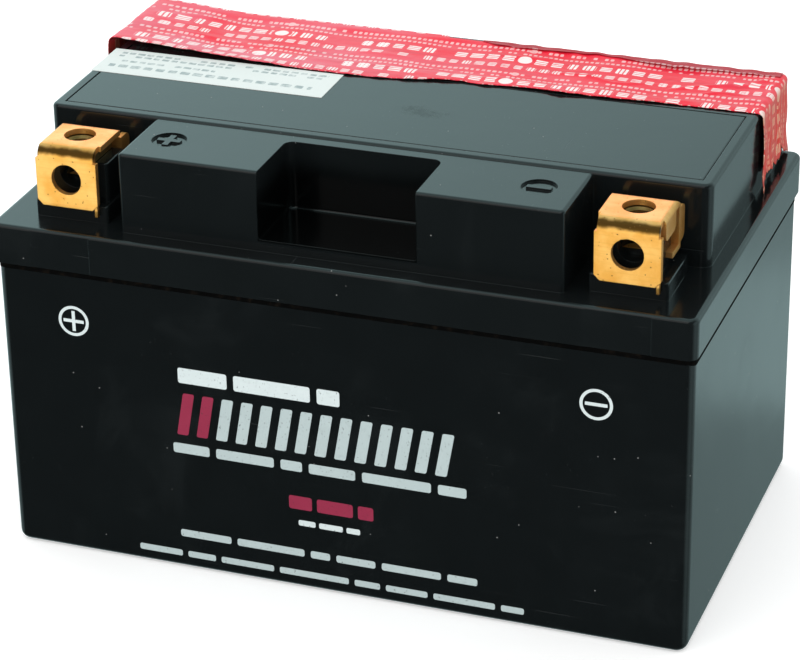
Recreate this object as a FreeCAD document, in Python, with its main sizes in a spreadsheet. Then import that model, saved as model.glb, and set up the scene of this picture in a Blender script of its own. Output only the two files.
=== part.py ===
import FreeCAD, Part
import os
import re

# Sealed 12 V motorcycle battery, dry-charged, with six cells in a moulded case.
# Units are millimetres.  Origin: centre of the bottom face.  +X runs along the
# length from the positive to the negative terminal, -Y is the terminal side,
# +Z is up.

doc = FreeCAD.newDocument("motorcycle_battery")

# ---------------------------------------------------------------- dimensions
CELLS = [
    ("half_len", 75.0, "half the overall length, over the lid skirt"),
    ("half_wid", 43.5, "half the overall width, over the lid skirt"),
    ("top_z", 93.0, "overall height, to the top of the seal"),
    ("skirt_z", 66.5, "lower edge of the lid skirt"),
    ("ledge_z", 75.1, "top of the skirt, the ledge round the blocks"),
    ("lid_under", 73.0, "underside of the lid plate, weld line to the case"),
    ("skirt_in_x", 73.25, "inside of the skirt, lengthwise"),
    ("skirt_in_y", 41.75, "inside of the skirt, crosswise"),
    ("skirt_corner", 2.2, "corner radius of the skirt"),
    ("edge_round", 1.0, "rounding of the skirt's top edge"),
    ("case_foot_x", 74.35, "half length of the case below the skirt"),
    ("case_foot_y", 42.85, "half width of the case below the skirt"),
    ("case_step", 66.4, "height of the step that the skirt rests over"),
    ("rim_x", 73.2, "half length of the case rim inside the skirt"),
    ("rim_y", 41.7, "half width of the case rim inside the skirt"),
    ("case_corner", 2.5, "vertical corner radius of the case"),
    ("case_bottom_round", 2.0, "rounding of the case's bottom edge"),
    ("floor_t", 2.5, "case floor"),
    ("cell_in_x", 71.9, "half length inside the end walls"),
    ("cell_in_y", 40.4, "half width inside the side walls"),
    ("part_t", 1.6, "partition between two cells"),
    ("rear_x", 71.2, "half length of the rear block"),
    ("rear_y0", -19.6, "front face of the rear block"),
    ("rear_y1", 42.9, "rear face of the rear block"),
    ("rear_z", 92.8, "top of the rear block"),
    ("rear_corner", 2.0, "vertical corner radius of the rear block"),
    ("rear_round", 0.9, "top edge rounding of the rear block"),
    ("fb_x", 47.2, "half length of the front block"),
    ("fb_y0", -39.1, "front face of the front block"),
    ("fb_z", 92.4, "top of the front block"),
    ("fb_round", 0.8, "top edge rounding of the front block"),
    ("fb_corner", 1.0, "vertical corner radius of the front block"),
    ("notch_x", 16.8, "half width of the hold-down notch"),
    ("notch_y", -22.3, "back wall of the hold-down notch"),
    ("notch_z", 77.7, "floor of the hold-down notch"),
    ("notch_r", 2.0, "back corner radius of the notch"),
    ("wall_t", 2.2, "general wall of the lid"),
    ("head_top", 82.0, "top of the head space over each cell"),
    ("well_z", 84.0, "floor of the filler trough and of the valve chamber"),
    ("trough_y0", 20.1, "front of the filler trough"),
    ("trough_y1", 40.7, "rear of the filler trough"),
    ("port_y", 31.0, "line of the six filler ports"),
    ("port_r", 4.3, "filler port bore radius"),
    ("nozzle_r", 6.5, "filler nozzle outer radius"),
    ("nozzle_z", 90.0, "top of the filler nozzles"),
    ("cover_x", 68.7, "half length of the vent cover"),
    ("cover_y0", -17.1, "front edge of the vent cover"),
    ("cover_y1", 16.9, "rear edge of the vent cover"),
    ("cover_z0", 91.0, "underside of the vent cover"),
    ("cover_gap", 0.15, "joint round the vent cover"),
    ("cover_ledge", 2.0, "ledge that the vent cover is welded to"),
    ("seat_r", 3.0, "valve seat outer radius"),
    ("seat_bore", 1.2, "valve seat bore radius"),
    ("seat_z", 87.0, "top of the valve seats"),
    ("cap_r", 4.2, "valve cap outer radius"),
    ("cap_in", 3.1, "valve cap skirt inside radius"),
    ("cap_z0", 84.8, "lower edge of the valve caps"),
    ("cap_z1", 88.6, "top of the valve caps"),
    ("arrestor_r", 3.3, "flame arrestor radius"),
    ("arrestor_z", 87.5, "axis height of the flame arrestor"),
    ("arrestor_t", 2.6, "flame arrestor thickness"),
    ("outlet_r", 1.0, "gas outlet radius"),
    ("foil_t", 0.18, "seal thickness over the top"),
    ("foil_x", 71.4, "half length of the seal over the ends"),
    ("foil_y0", 17.3, "front edge of the seal"),
    ("foil_y1", 43.1, "rear of the seal"),
    ("foil_z0", 75.6, "lower edge of the folded-down ends of the seal"),
    ("foil_flap_t", 0.15, "thickness of the folded-down ends"),
    ("label_x0", -71.0, "left end of the label"),
    ("label_len", 53.0, "label length"),
    ("label_y0", 0.35, "front edge of the label"),
    ("label_wid", 13.4, "label width"),
    ("label_t", 0.1, "label thickness"),
    ("term_x0", 52.7, "inner side of a terminal"),
    ("term_x1", 66.2, "outer side of a terminal"),
    ("term_y0", -37.8, "front face of a terminal"),
    ("term_y1", -23.7, "rear face of a terminal's riser"),
    ("term_z0", 78.3, "lower edge of a terminal's front plate"),
    ("term_z1", 91.5, "top face of a terminal"),
    ("term_t", 1.2, "terminal sheet thickness"),
    ("bend_r", 2.4, "outer bend radius of a terminal"),
    ("bend_in", 1.2, "inner radius of a terminal's front bend"),
    ("bend_in_r", 0.6, "inner radius of a terminal's rear bend"),
    ("bolt_r", 3.3, "radius of the bolt holes in a terminal"),
    ("bolt_room_r", 3.2, "room for the tips of the bolts, radius"),
    ("front_hole_z", 84.5, "height of the front bolt hole"),
    ("top_hole_y", -30.1, "position of the top bolt hole"),
    ("foot_z0", 81.0, "underside of a terminal's foot"),
    ("foot_y0", -29.4, "front end of a terminal's foot"),
    ("wing_y1", -20.9, "rear edge of a riser's wings"),
    ("wing_z1", 89.6, "top of a riser's wings"),
    ("flange_z0", 86.6, "lower edge of a terminal's side flange"),
    ("nut_w", 9.8, "square nut across flats"),
    ("nut_z0", 87.5, "underside of a square nut"),
    ("nut_t", 2.6, "square nut thickness"),
    ("nut_bore", 2.5, "tapped bore radius of the nut"),
    ("plinth_x0", 51.2, "inner side of a terminal plinth"),
    ("plinth_x1", 67.4, "outer side of a terminal plinth"),
    ("plinth_y0", -36.4, "front face of a terminal plinth"),
    ("plinth_y1", -22.0, "rear face of a terminal plinth"),
    ("plinth_z", 78.9, "top of a terminal plinth"),
    ("column_x0", 51.9, "inner side of a terminal column"),
    ("column_x1", 64.8, "outer side of a terminal column"),
    ("column_y0", -33.9, "front face of a terminal column"),
    ("column_y1", -25.1, "rear face of a terminal column"),
    ("column_z", 87.4, "top of a terminal column"),
    ("post_y", -27.6, "post axis"),
    ("post_r", 3.0, "post radius"),
    ("post_z0", 69.0, "foot of the posts on the end straps"),
    ("seal_r", 4.8, "post seal outer radius"),
    ("seal_z1", 76.4, "top of the post seals"),
    ("mark_r", 3.65, "polarity recess radius"),
    ("mark_d", 0.5, "polarity recess depth"),
    ("pos_t", 1.8, "positive plate thickness"),
    ("neg_t", 1.4, "negative plate thickness"),
    ("sep_t", 1.0, "separator thickness"),
    ("plate_hy", 39.0, "half width of the plates"),
    ("plate_z0", 3.2, "lower edge of the plates"),
    ("plate_z1", 61.0, "upper edge of the plates"),
    ("sep_hy", 39.7, "half width of the separators"),
    ("sep_z0", 2.6, "lower edge of the separators"),
    ("sep_z1", 63.0, "upper edge of the separators"),
    ("lug_y", 27.2, "line of the plate lugs"),
    ("lug_w", 9.0, "lug width"),
    ("strap_z0", 65.0, "underside of the straps"),
    ("strap_z1", 69.0, "top of the strap bars"),
    ("strap_w", 13.0, "strap width"),
    ("strap_x", 10.6, "half length of a strap"),
    ("tomb_t", 2.6, "thickness of a strap's upright end"),
    ("tomb_z1", 72.6, "top of a strap's upright end"),
    ("weld_r", 2.6, "weld through the partition, radius"),
    ("weld_z", 69.2, "weld height"),
]
sheet = doc.addObject("Spreadsheet::Sheet", "dims")
for row, (alias, value, note) in enumerate(CELLS, start=1):
    sheet.set("A%d" % row, alias)
    sheet.set("B%d" % row, str(value))
    sheet.setAlias("B%d" % row, alias)
    sheet.set("C%d" % row, note)
doc.recompute()
V = dict((alias, value) for alias, value, note in CELLS)
WORD = re.compile(r"[A-Za-z_][A-Za-z_0-9]*")


def ex(text):
    """Expression text with each dimension's name pointed at the sheet."""
    return WORD.sub(lambda k: "dims." + k.group(0) if k.group(0) in V else k.group(0), str(text))


def bind(obj, prop, text):
    obj.setExpression(prop, ex(text))


PITCH = "((2*cell_in_x-5*part_t)/6+part_t)"
CELL_W = "((2*cell_in_x-5*part_t)/6)"


def cell_x(i):
    """Centre of cell i, 1 to 6 from the positive end."""
    return "(%s*%g)" % (PITCH, i - 3.5)


nodes = {}


def node(obj, name):
    obj.Label = name
    nodes[name] = obj
    return obj


# ------------------------------------------------------------------- helpers
def box(name, x0, x1, y0, y1, z0, z1):
    b = doc.addObject("Part::Box", name)
    bind(b, "Length", "(%s)-(%s)" % (x1, x0))
    bind(b, "Width", "(%s)-(%s)" % (y1, y0))
    bind(b, "Height", "(%s)-(%s)" % (z1, z0))
    bind(b, "Placement.Base.x", x0)
    bind(b, "Placement.Base.y", y0)
    bind(b, "Placement.Base.z", z0)
    return b


ROT = {
    "z": FreeCAD.Rotation(),
    "x": FreeCAD.Rotation(FreeCAD.Vector(0, 1, 0), 90),
    "y": FreeCAD.Rotation(FreeCAD.Vector(1, 0, 0), -90),
}


def cyl(name, axis, x, y, z, r, length):
    """Cylinder that starts at x, y, z and runs along +axis."""
    c = doc.addObject("Part::Cylinder", name)
    c.Placement = FreeCAD.Placement(FreeCAD.Vector(0, 0, 0), ROT[axis])
    bind(c, "Radius", r)
    bind(c, "Height", length)
    bind(c, "Placement.Base.x", x)
    bind(c, "Placement.Base.y", y)
    bind(c, "Placement.Base.z", z)
    return c


def fuse(name, objs):
    f = doc.addObject("Part::MultiFuse", name)
    f.Shapes = objs
    f.Refine = False
    return f


def group(name, objs):
    g = doc.addObject("Part::Compound", name)
    g.Links = objs
    return g


def cut(name, base, tool):
    c = doc.addObject("Part::Cut", name)
    c.Base = base
    c.Tool = tool
    c.Refine = False
    return c


def axis_of(edge):
    if edge.Curve.TypeId != "Part::GeomLine":
        return None
    d = edge.Vertexes[-1].Point - edge.Vertexes[0].Point
    for n, v in (("x", d.x), ("y", d.y), ("z", d.z)):
        if abs(v) > 0.999 * d.Length:
            return n
    return None


def rounded(name, base, picks):
    """Round edges of a block.  picks: (test(axis, midpoint), radius)."""
    base.recompute(True)
    out = []
    for k, e in enumerate(base.Shape.Edges, start=1):
        mid = e.CenterOfMass
        for test, r in picks:
            if test(axis_of(e), mid):
                out.append((k, r, r))
                break
    f = doc.addObject("Part::Fillet", name)
    f.Base = base
    f.Edges = out
    return f


def chamfered(name, base, picks):
    base.recompute(True)
    out = []
    for k, e in enumerate(base.Shape.Edges, start=1):
        for test, r in picks:
            if test(axis_of(e), e.CenterOfMass):
                out.append((k, r, r))
                break
    f = doc.addObject("Part::Chamfer", name)
    f.Base = base
    f.Edges = out
    return f


def plane(body, role):
    for f in body.Origin.OriginFeatures:
        if f.Role == role:
            return f
    raise RuntimeError(role)


def rect_sketch(body, name, role, x0, y0, w, d, offset=None):
    """Rectangle with its lower corner at x0, y0, every size bound to the sheet."""
    sk = body.newObject("Sketcher::SketchObject", name)
    sk.AttachmentSupport = [(plane(body, role), "")]
    sk.MapMode = "FlatFace"
    if offset is not None:
        bind(sk, "AttachmentOffset.Base.z", offset)
    V3 = FreeCAD.Vector
    p = [V3(0, 0, 0), V3(10, 0, 0), V3(10, 10, 0), V3(0, 10, 0)]
    for k in range(4):
        sk.addGeometry(Part.LineSegment(p[k], p[(k + 1) % 4]), False)
    import Sketcher
    for k in range(4):
        sk.addConstraint(Sketcher.Constraint("Coincident", k, 2, (k + 1) % 4, 1))
    sk.addConstraint(Sketcher.Constraint("Horizontal", 0))
    sk.addConstraint(Sketcher.Constraint("Vertical", 1))
    sk.addConstraint(Sketcher.Constraint("Horizontal", 2))
    sk.addConstraint(Sketcher.Constraint("Vertical", 3))
    for label, con, text in (
        ("w", Sketcher.Constraint("DistanceX", 0, 1, 0, 2, 10.0), w),
        ("d", Sketcher.Constraint("DistanceY", 1, 1, 1, 2, 10.0), d),
        ("px", Sketcher.Constraint("DistanceX", -1, 1, 0, 1, 0.0), x0),
        ("py", Sketcher.Constraint("DistanceY", -1, 1, 0, 1, 0.0), y0),
    ):
        k = sk.addConstraint(con)
        sk.renameConstraint(k, "c_" + label)
        bind(sk, "Constraints.c_" + label, text)
    return sk


# ----------------------------------------------------------------- container
case = doc.addObject("PartDesign::Body", "case_body")
sk = rect_sketch(case, "case_foot", "XY_Plane", "-case_foot_x", "-case_foot_y", "2*case_foot_x", "2*case_foot_y")
pad = case.newObject("PartDesign::Pad", "case_pad")
pad.Profile = sk
bind(pad, "Length", "case_step")
doc.recompute()


def edge_names(shape, test):
    return ["Edge%d" % k for k, e in enumerate(shape.Edges, start=1) if test(e)]


upright = edge_names(pad.Shape, lambda e: abs(e.Vertexes[0].Z - e.Vertexes[-1].Z) > 50)
fl = case.newObject("PartDesign::Fillet", "case_corners")
fl.Base = (pad, upright)
bind(fl, "Radius", "case_corner")
doc.recompute()
low = edge_names(fl.Shape, lambda e: e.BoundBox.ZMax < 0.01)
fl2 = case.newObject("PartDesign::Fillet", "case_bottom_edge")
fl2.Base = (fl, low)
bind(fl2, "Radius", "case_bottom_round")
doc.recompute()
sk = rect_sketch(case, "rim_outline", "XY_Plane", "-rim_x", "-rim_y", "2*rim_x", "2*rim_y", "case_step")
rim = case.newObject("PartDesign::Pad", "rim_pad")
rim.Profile = sk
bind(rim, "Length", "lid_under-case_step")
doc.recompute()
before = rim.Shape.Volume
sk = rect_sketch(case, "first_cell", "XY_Plane", "-cell_in_x", "-cell_in_y", CELL_W, "2*cell_in_y", "lid_under")
cellp = case.newObject("PartDesign::Pocket", "first_cell_pocket")
cellp.Profile = sk
bind(cellp, "Length", "lid_under-floor_t")
doc.recompute()
one = before - cellp.Shape.Volume
assert one > 100000, one
pat = case.newObject("PartDesign::LinearPattern", "cells")
pat.Originals = [cellp]
pat.Direction = (sk, ["H_Axis"])
bind(pat, "Length", "5*" + PITCH)
pat.Occurrences = 6
case.Tip = pat
doc.recompute()
assert abs((before - case.Shape.Volume) - 6 * one) < 1.0, (before - case.Shape.Volume, one)
windows = []
for i in range(1, 6):
    side = "lug_y" if i % 2 else "-lug_y"
    windows.append(cyl("weld_window_%d" % i, "x", "%s+%s/2-0.5" % (cell_x(i), CELL_W), side, "weld_z", "weld_r", "part_t+1"))
container = cut("container_solid", case, group("weld_windows", windows))
node(container, "container")

# ----------------------------------------------------------------------- lid
up = lambda z: (lambda a, m: a in ("x", "y") and abs(m.z - z) < 0.01)
vert = lambda a, m: a == "z"

skirt = rounded("skirt_block", box("skirt_raw", "-half_len", "half_len", "-half_wid", "half_wid", "skirt_z", "ledge_z"),
                [(vert, V["skirt_corner"]), (up(V["ledge_z"]), V["edge_round"])])
rear = rounded("rear_block", box("rear_raw", "-rear_x", "rear_x", "rear_y0", "rear_y1", "ledge_z-1", "rear_z"),
               [(vert, V["rear_corner"]), (up(V["rear_z"]), V["rear_round"])])
front = rounded("front_block", box("front_raw", "-fb_x", "fb_x", "fb_y0", "rear_y0+1.5", "ledge_z-1", "fb_z"),
                [(lambda a, m: a == "z" and m.y < V["rear_y0"], V["fb_corner"]),
                 (lambda a, m: a in ("x", "y") and abs(m.z - V["fb_z"]) < 0.01 and m.y < V["rear_y0"] + 1, V["fb_round"])])
blocks = [skirt, rear, front]
slots = []


def span(s, a, b):
    """x range of a feature on the negative (+1) or positive (-1) side."""
    return (a, b) if s > 0 else ("-(%s)" % b, "-(%s)" % a)


def at(s, a):
    return a if s > 0 else "-(%s)" % a


MID = "(term_x0+term_x1)/2"
for s, tag in ((-1, "positive"), (1, "negative")):
    a, b = span(s, "plinth_x0", "plinth_x1")
    p = box(tag + "_plinth_raw", a, b, "plinth_y0", "plinth_y1", "ledge_z-1", "plinth_z")
    blocks.append(rounded(tag + "_plinth", p, [(vert, 0.6), (up(V["plinth_z"]), 0.35)]))
    a, b = span(s, "column_x0", "column_x1")
    p = box(tag + "_column_raw", a, b, "column_y0", "column_y1", "ledge_z-1", "column_z")
    blocks.append(rounded(tag + "_column", p, [(vert, 0.8), (up(V["column_z"]), 0.4)]))
    p = box(tag + "_column_base_raw", a, b, "column_y1-2", "term_y1", "ledge_z-1", "foot_z0-0.1")
    blocks.append(p)
    # room for the foot of the terminal, open to the rear and outwards
    a, b = span(s, "term_x0+1", "term_x1+3")
    slots.append(box(tag + "_foot_slot", a, b, "foot_y0-0.2", "rear_y0-0.4", "foot_z0-0.1", "foot_z0+term_t+0.1"))
    # room for the riser of the terminal below its foot, and for the post
    slots.append(cyl(tag + "_post_bore", "z", at(s, MID), "post_y", "lid_under-1", "post_r+0.05", "foot_z0-lid_under+1"))
    slots.append(cyl(tag + "_seal_bore", "z", at(s, MID), "post_y", "lid_under-1", "seal_r", "seal_z1-lid_under+1"))
    # room for the tips of the terminal bolts
    slots.append(cyl(tag + "_top_bolt_room", "z", at(s, MID), "top_hole_y", "foot_z0+term_t", "bolt_room_r", "column_z-foot_z0"))
    slots.append(cyl(tag + "_front_bolt_room", "y", at(s, MID), "column_y0-1", "front_hole_z", "bolt_room_r", "4.7"))
mass = fuse("lid_mass", blocks)

hollows = [box("skirt_hollow", "-skirt_in_x", "skirt_in_x", "-skirt_in_y", "skirt_in_y", "skirt_z-1", "lid_under")]
for i in range(1, 7):
    lo = "%s-11" % cell_x(i) if i > 1 else "-(rear_x-wall_t)"
    hi = "%s+11" % cell_x(i) if i < 6 else "rear_x-wall_t"
    hollows.append(box("head_space_%d" % i, lo, hi, "rear_y0+2.5", "cell_in_y", "lid_under-0.5", "head_top"))
for s, tag in ((-1, "left"), (1, "right")):
    a, b = span(s, "fb_x-wall_t-19.2", "fb_x-wall_t")
    hollows.append(box(tag + "_block_hollow", a, b, "fb_y0+2.4", "rear_y0-2.4", "lid_under-0.5", "fb_z-2.3"))
hollows.append(box("trough", "-(rear_x-wall_t)", "rear_x-wall_t", "trough_y0", "trough_y1", "well_z", "rear_z+1"))
hollows.append(box("cover_recess", "-(cover_x+cover_gap)", "cover_x+cover_gap", "cover_y0-cover_gap", "cover_y1+cover_gap",
                   "cover_z0", "rear_z+1"))
hollows.append(box("valve_chamber", "-(cover_x-cover_ledge)", "cover_x-cover_ledge", "cover_y0+cover_ledge",
                   "cover_y1-cover_ledge", "well_z", "cover_z0+0.1"))
notch = rounded("notch", box("notch_raw", "-notch_x", "notch_x", "fb_y0-5", "notch_y", "notch_z", "fb_z+5"),
                [(lambda a, m: a == "z" and m.y > -30, V["notch_r"]),
                 (lambda a, m: a in ("x", "y") and abs(m.z - V["notch_z"]) < 0.01 and m.y > -39, 0.6)])
hollows.append(notch)
hollows.append(cyl("arrestor_pocket", "x", "-(cover_x-cover_ledge+arrestor_t)", "0", "arrestor_z", "arrestor_r", "arrestor_t+1"))
hollows.append(cyl("gas_outlet", "x", "-(rear_x+1)", "0", "arrestor_z", "outlet_r", "5"))
for x, y, tag in (("-39.9", "-29", "plus"), ("38.9", "-28.9", "minus")):
    hollows.append(cyl(tag + "_recess", "z", x, y, "fb_z-mark_d", "mark_r", "3"))
# shallow flats left on the front of the skirt by the mould inserts
for s, tag in ((-1, "left"), (1, "right")):
    a, b = span(s, "term_x0", "term_x1-0.2")
    hollows.append(box(tag + "_insert_flat", a, b, "-half_wid-1", "-half_wid+0.12", "skirt_z-1", "ledge_z+1"))
# the tools are taken away in rounds, so that no round's tools overlap
ROUNDS = [("skirt_hollow",),
          ("head_space", "block_hollow", "trough", "cover_recess"),
          ("valve_chamber", "notch", "recess", "insert_flat", "foot_slot", "seal_bore"),
          ("arrestor_pocket", "post_bore"),
          ("gas_outlet", "top_bolt_room"),
          ("front_bolt_room",)]
hollowed = mass
left = hollows + slots
for k, words in enumerate(ROUNDS):
    take = [o for o in left if any(w in o.Name for w in words)]
    left = [o for o in left if o not in take]
    hollowed = cut("lid_round_%d" % (k + 1), hollowed, group("lid_tools_%d" % (k + 1), take) if len(take) > 1 else take[0])
assert not left, [o.Name for o in left]

extra = [hollowed]
bores = []
for i in range(1, 7):
    extra.append(cyl("nozzle_%d" % i, "z", cell_x(i), "port_y", "head_top+0.5", "nozzle_r", "nozzle_z-head_top-0.5"))
    extra.append(cyl("valve_seat_%d" % i, "z", cell_x(i), "0", "head_top+0.5", "seat_r", "seat_z-head_top-0.5"))
    bores.append(cyl("port_%d" % i, "z", cell_x(i), "port_y", "head_top-1", "port_r", "nozzle_z-head_top+3"))
    bores.append(cyl("seat_hole_%d" % i, "z", cell_x(i), "0", "head_top-1", "seat_bore", "seat_z-head_top+3"))
extra.append(box("plus_bar_a", "-39.9-2.55", "-39.9+2.55", "-29-0.65", "-29+0.65", "fb_z-mark_d-0.4", "fb_z-0.05"))
extra.append(box("plus_bar_b", "-39.9-0.65", "-39.9+0.65", "-29-2.55", "-29+2.55", "fb_z-mark_d-0.4", "fb_z-0.05"))
extra.append(box("minus_bar", "38.9-2.55", "38.9+2.55", "-28.9-0.65", "-28.9+0.65", "fb_z-mark_d-0.4", "fb_z-0.05"))
lid = cut("lid_solid", fuse("lid_with_fittings", extra), group("lid_bores", bores))
node(lid, "lid")

# ---------------------------------------------------------------- vent cover
cover = doc.addObject("PartDesign::Body", "cover_body")
sk = rect_sketch(cover, "cover_outline", "XY_Plane", "-cover_x", "cover_y0", "2*cover_x", "cover_y1-cover_y0", "cover_z0")
pad = cover.newObject("PartDesign::Pad", "cover_pad")
pad.Profile = sk
bind(pad, "Length", "rear_z-cover_z0")
doc.recompute()
ch = cover.newObject("PartDesign::Chamfer", "cover_edge")
ch.Base = (pad, edge_names(pad.Shape, lambda e: e.BoundBox.ZMin > V["rear_z"] - 0.01))
ch.Size = 0.25
doc.recompute()
cover.Tip = ch
node(cover, "vent_cover")

# ---------------------------------------------------------------- foil seal
foil = cut("foil_solid",
           box("foil_outer", "-foil_x", "foil_x", "foil_y0", "foil_y1", "foil_z0", "top_z"),
           box("foil_inner", "-(foil_x-foil_flap_t)", "foil_x-foil_flap_t", "foil_y0-1", "foil_y1-foil_flap_t",
               "foil_z0-1", "top_z-foil_t"))
node(foil, "foil_seal")

# --------------------------------------------------------------------- label
lab = doc.addObject("PartDesign::Body", "label_body")
sk = rect_sketch(lab, "label_outline", "XY_Plane", "label_x0", "label_y0", "label_len", "label_wid", "rear_z")
pad = lab.newObject("PartDesign::Pad", "label_pad")
pad.Profile = sk
bind(pad, "Length", "label_t")
lab.Tip = pad
node(lab, "info_label")

# ----------------------------------------------------------------- terminals
for s, tag in ((-1, "positive"), (1, "negative")):
    a, b = span(s, "term_x0", "term_x1")
    out_x = s * V["term_x1"]
    raw = box(tag + "_lug_block", a, b, "term_y0", "term_y1", "term_z0", "term_z1")
    r = V["bend_r"]
    blk = rounded(tag + "_lug_bends", raw, [
        (lambda ax, m: ax == "x" and abs(m.z - V["term_z1"]) < 0.01, r),
        (lambda ax, m, o=out_x: ax == "y" and abs(m.z - V["term_z1"]) < 0.01 and abs(m.x - o) < 0.01, 1.2),
    ])
    blk = chamfered(tag + "_lug_corners", blk, [
        (lambda ax, m: ax == "y" and abs(m.z - V["term_z0"]) < 0.01, 1.2),
    ])
    a2, b2 = span(s, "term_x0-2", "term_x1+2")
    inner = rounded(tag + "_lug_inside", box(tag + "_lug_inside_raw", a2, b2, "term_y0+term_t", "term_y1-term_t",
                                             "term_z0-5", "term_z1-term_t"),
                    [(lambda ax, m: ax == "x" and m.z > 85 and m.y < -30, V["bend_in"]),
                     (lambda ax, m: ax == "x" and m.z > 85 and m.y > -30, V["bend_in_r"])])
    # the riser ends at the foot, the front plate runs lower
    short = box(tag + "_riser_end", a2, b2, "term_y0+term_t+2", "term_y1+5", "term_z0-5", "foot_z0")
    # relief cuts at the ends of the front bend
    ra, rb = span(s, "term_x0-1", "term_x0+0.55")
    rel1 = box(tag + "_relief_in", ra, rb, "term_y0-1", "term_y0+3.0", "term_z1-2.8", "term_z1+1")
    ra, rb = span(s, "term_x1-0.55", "term_x1+1")
    rel2 = box(tag + "_relief_out", ra, rb, "term_y0-1", "term_y0+3.0", "term_z1-2.8", "term_z1+1")
    # the rear corners of the top plate are cut back in plan
    ra, rb = span(s, "term_x0-1", "term_x0+1.3")
    rel3 = box(tag + "_corner_in", ra, rb, "term_y1-1.5", "term_y1+1", "term_z1-1.9", "term_z1+1")
    shell = cut(tag + "_lug_shell", blk, group(tag + "_lug_away", [inner, short]))
    shell = cut(tag + "_lug_relieved", shell, group(tag + "_lug_reliefs", [rel1, rel2, rel3]))
    add = [shell]
    fa, fb = span(s, "term_x1-term_t", "term_x1")
    add.append(rounded(tag + "_side_flange", box(tag + "_side_flange_raw", fa, fb, "term_y0+3.2", "term_y0+10.3",
                                                 "flange_z0", "term_z1-1.15"),
                       [(lambda ax, m: ax == "x" and m.z < 88, 1.2)]))
    fa, fb = span(s, "term_x0+1.2", "term_x1")
    add.append(box(tag + "_foot", fa, fb, "foot_y0", "term_y1", "foot_z0", "foot_z0+term_t"))
    for side, (wa, wb) in (("outer", ("term_x1-term_t", "term_x1")), ("inner", ("term_x0", "term_x0+term_t"))):
        fa, fb = span(s, wa, wb)
        add.append(rounded(tag + "_" + side + "_wing",
                           box(tag + "_" + side + "_wing_raw", fa, fb, "term_y1-term_t", "wing_y1", "foot_z0+term_t", "wing_z1"),
                           [(lambda ax, m: ax == "x" and m.y > -22, 1.5)]))
    # small tang under the corner of the front plate that faces the negative end
    ta, tb = ("term_x1-1.0", "term_x1-0.35") if s > 0 else ("-(term_x0+0.9)", "-(term_x0+0.25)")
    add.append(box(tag + "_tang", ta, tb, "term_y0+0.3", "term_y0+term_t", "term_z0-1.5", "term_z0+2.5"))
    whole = fuse(tag + "_lug_whole", add)
    holes = group(tag + "_lug_holes", [
        cyl(tag + "_front_hole", "y", at(s, MID), "term_y0-1", "front_hole_z", "bolt_r", "term_t+2"),
        cyl(tag + "_top_hole", "z", at(s, MID), "top_hole_y", "term_z1-term_t-1", "bolt_r", "term_t+2"),
    ])
    node(cut(tag + "_lug", whole, holes), tag + "_terminal_bracket")

    # square nut, loose between the top plate and the column
    nb = doc.addObject("PartDesign::Body", tag + "_nut_body")
    sk = rect_sketch(nb, tag + "_nut_outline", "XY_Plane", "%s-nut_w/2" % at(s, MID), "top_hole_y-nut_w/2", "nut_w", "nut_w", "nut_z0")
    pad = nb.newObject("PartDesign::Pad", tag + "_nut_pad")
    pad.Profile = sk
    bind(pad, "Length", "nut_t")
    doc.recompute()
    ch = nb.newObject("PartDesign::Chamfer", tag + "_nut_corners")
    ch.Base = (pad, edge_names(pad.Shape, lambda e: e.BoundBox.ZMax - e.BoundBox.ZMin > 1))
    ch.Size = 0.5
    doc.recompute()
    sk2 = nb.newObject("Sketcher::SketchObject", tag + "_nut_thread_circle")
    sk2.AttachmentSupport = [(plane(nb, "XY_Plane"), "")]
    sk2.MapMode = "FlatFace"
    bind(sk2, "AttachmentOffset.Base.z", "nut_z0+nut_t")
    import Sketcher
    sk2.addGeometry(Part.Circle(FreeCAD.Vector(0, 0, 0), FreeCAD.Vector(0, 0, 1), 2.5), False)
    k = sk2.addConstraint(Sketcher.Constraint("Radius", 0, 2.5))
    sk2.renameConstraint(k, "bore")
    bind(sk2, "Constraints.bore", "nut_bore")
    k = sk2.addConstraint(Sketcher.Constraint("DistanceX", -1, 1, 0, 3, 1.0))
    sk2.renameConstraint(k, "cx")
    bind(sk2, "Constraints.cx", at(s, MID))
    k = sk2.addConstraint(Sketcher.Constraint("DistanceY", -1, 1, 0, 3, 1.0))
    sk2.renameConstraint(k, "cy")
    bind(sk2, "Constraints.cy", "top_hole_y")
    pk = nb.newObject("PartDesign::Pocket", tag + "_nut_bore")
    pk.Profile = sk2
    pk.Type = 1
    doc.recompute()
    was = pk.Shape.Volume
    assert was < ch.Shape.Volume - 40, (was, ch.Shape.Volume)
    ring = edge_names(pk.Shape, lambda e: e.Curve.TypeId == "Part::GeomCircle")
    ch2 = nb.newObject("PartDesign::Chamfer", tag + "_nut_lead_in")
    ch2.Base = (pk, ring)
    ch2.Size = 0.5
    doc.recompute()
    nb.Tip = ch2
    node(nb, tag + "_terminal_nut")

    # post, and the seal round it where it passes through the lid
    post = fuse(tag + "_post_solid", [
        cyl(tag + "_post_rod", "z", at(s, MID), "post_y", "post_z0", "post_r", "foot_z0-post_z0"),
        cyl(tag + "_post_collar", "z", at(s, MID), "post_y", "post_z0", "post_r+1.5", "2.5"),
    ])
    node(post, tag + "_post")
    seal = cut(tag + "_seal_solid",
               cyl(tag + "_seal_disc", "z", at(s, MID), "post_y", "lid_under", "seal_r", "seal_z1-lid_under"),
               cyl(tag + "_seal_hole", "z", at(s, MID), "post_y", "lid_under-1", "post_r", "seal_z1-lid_under+2"))
    node(seal, tag + "_post_seal")

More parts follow.
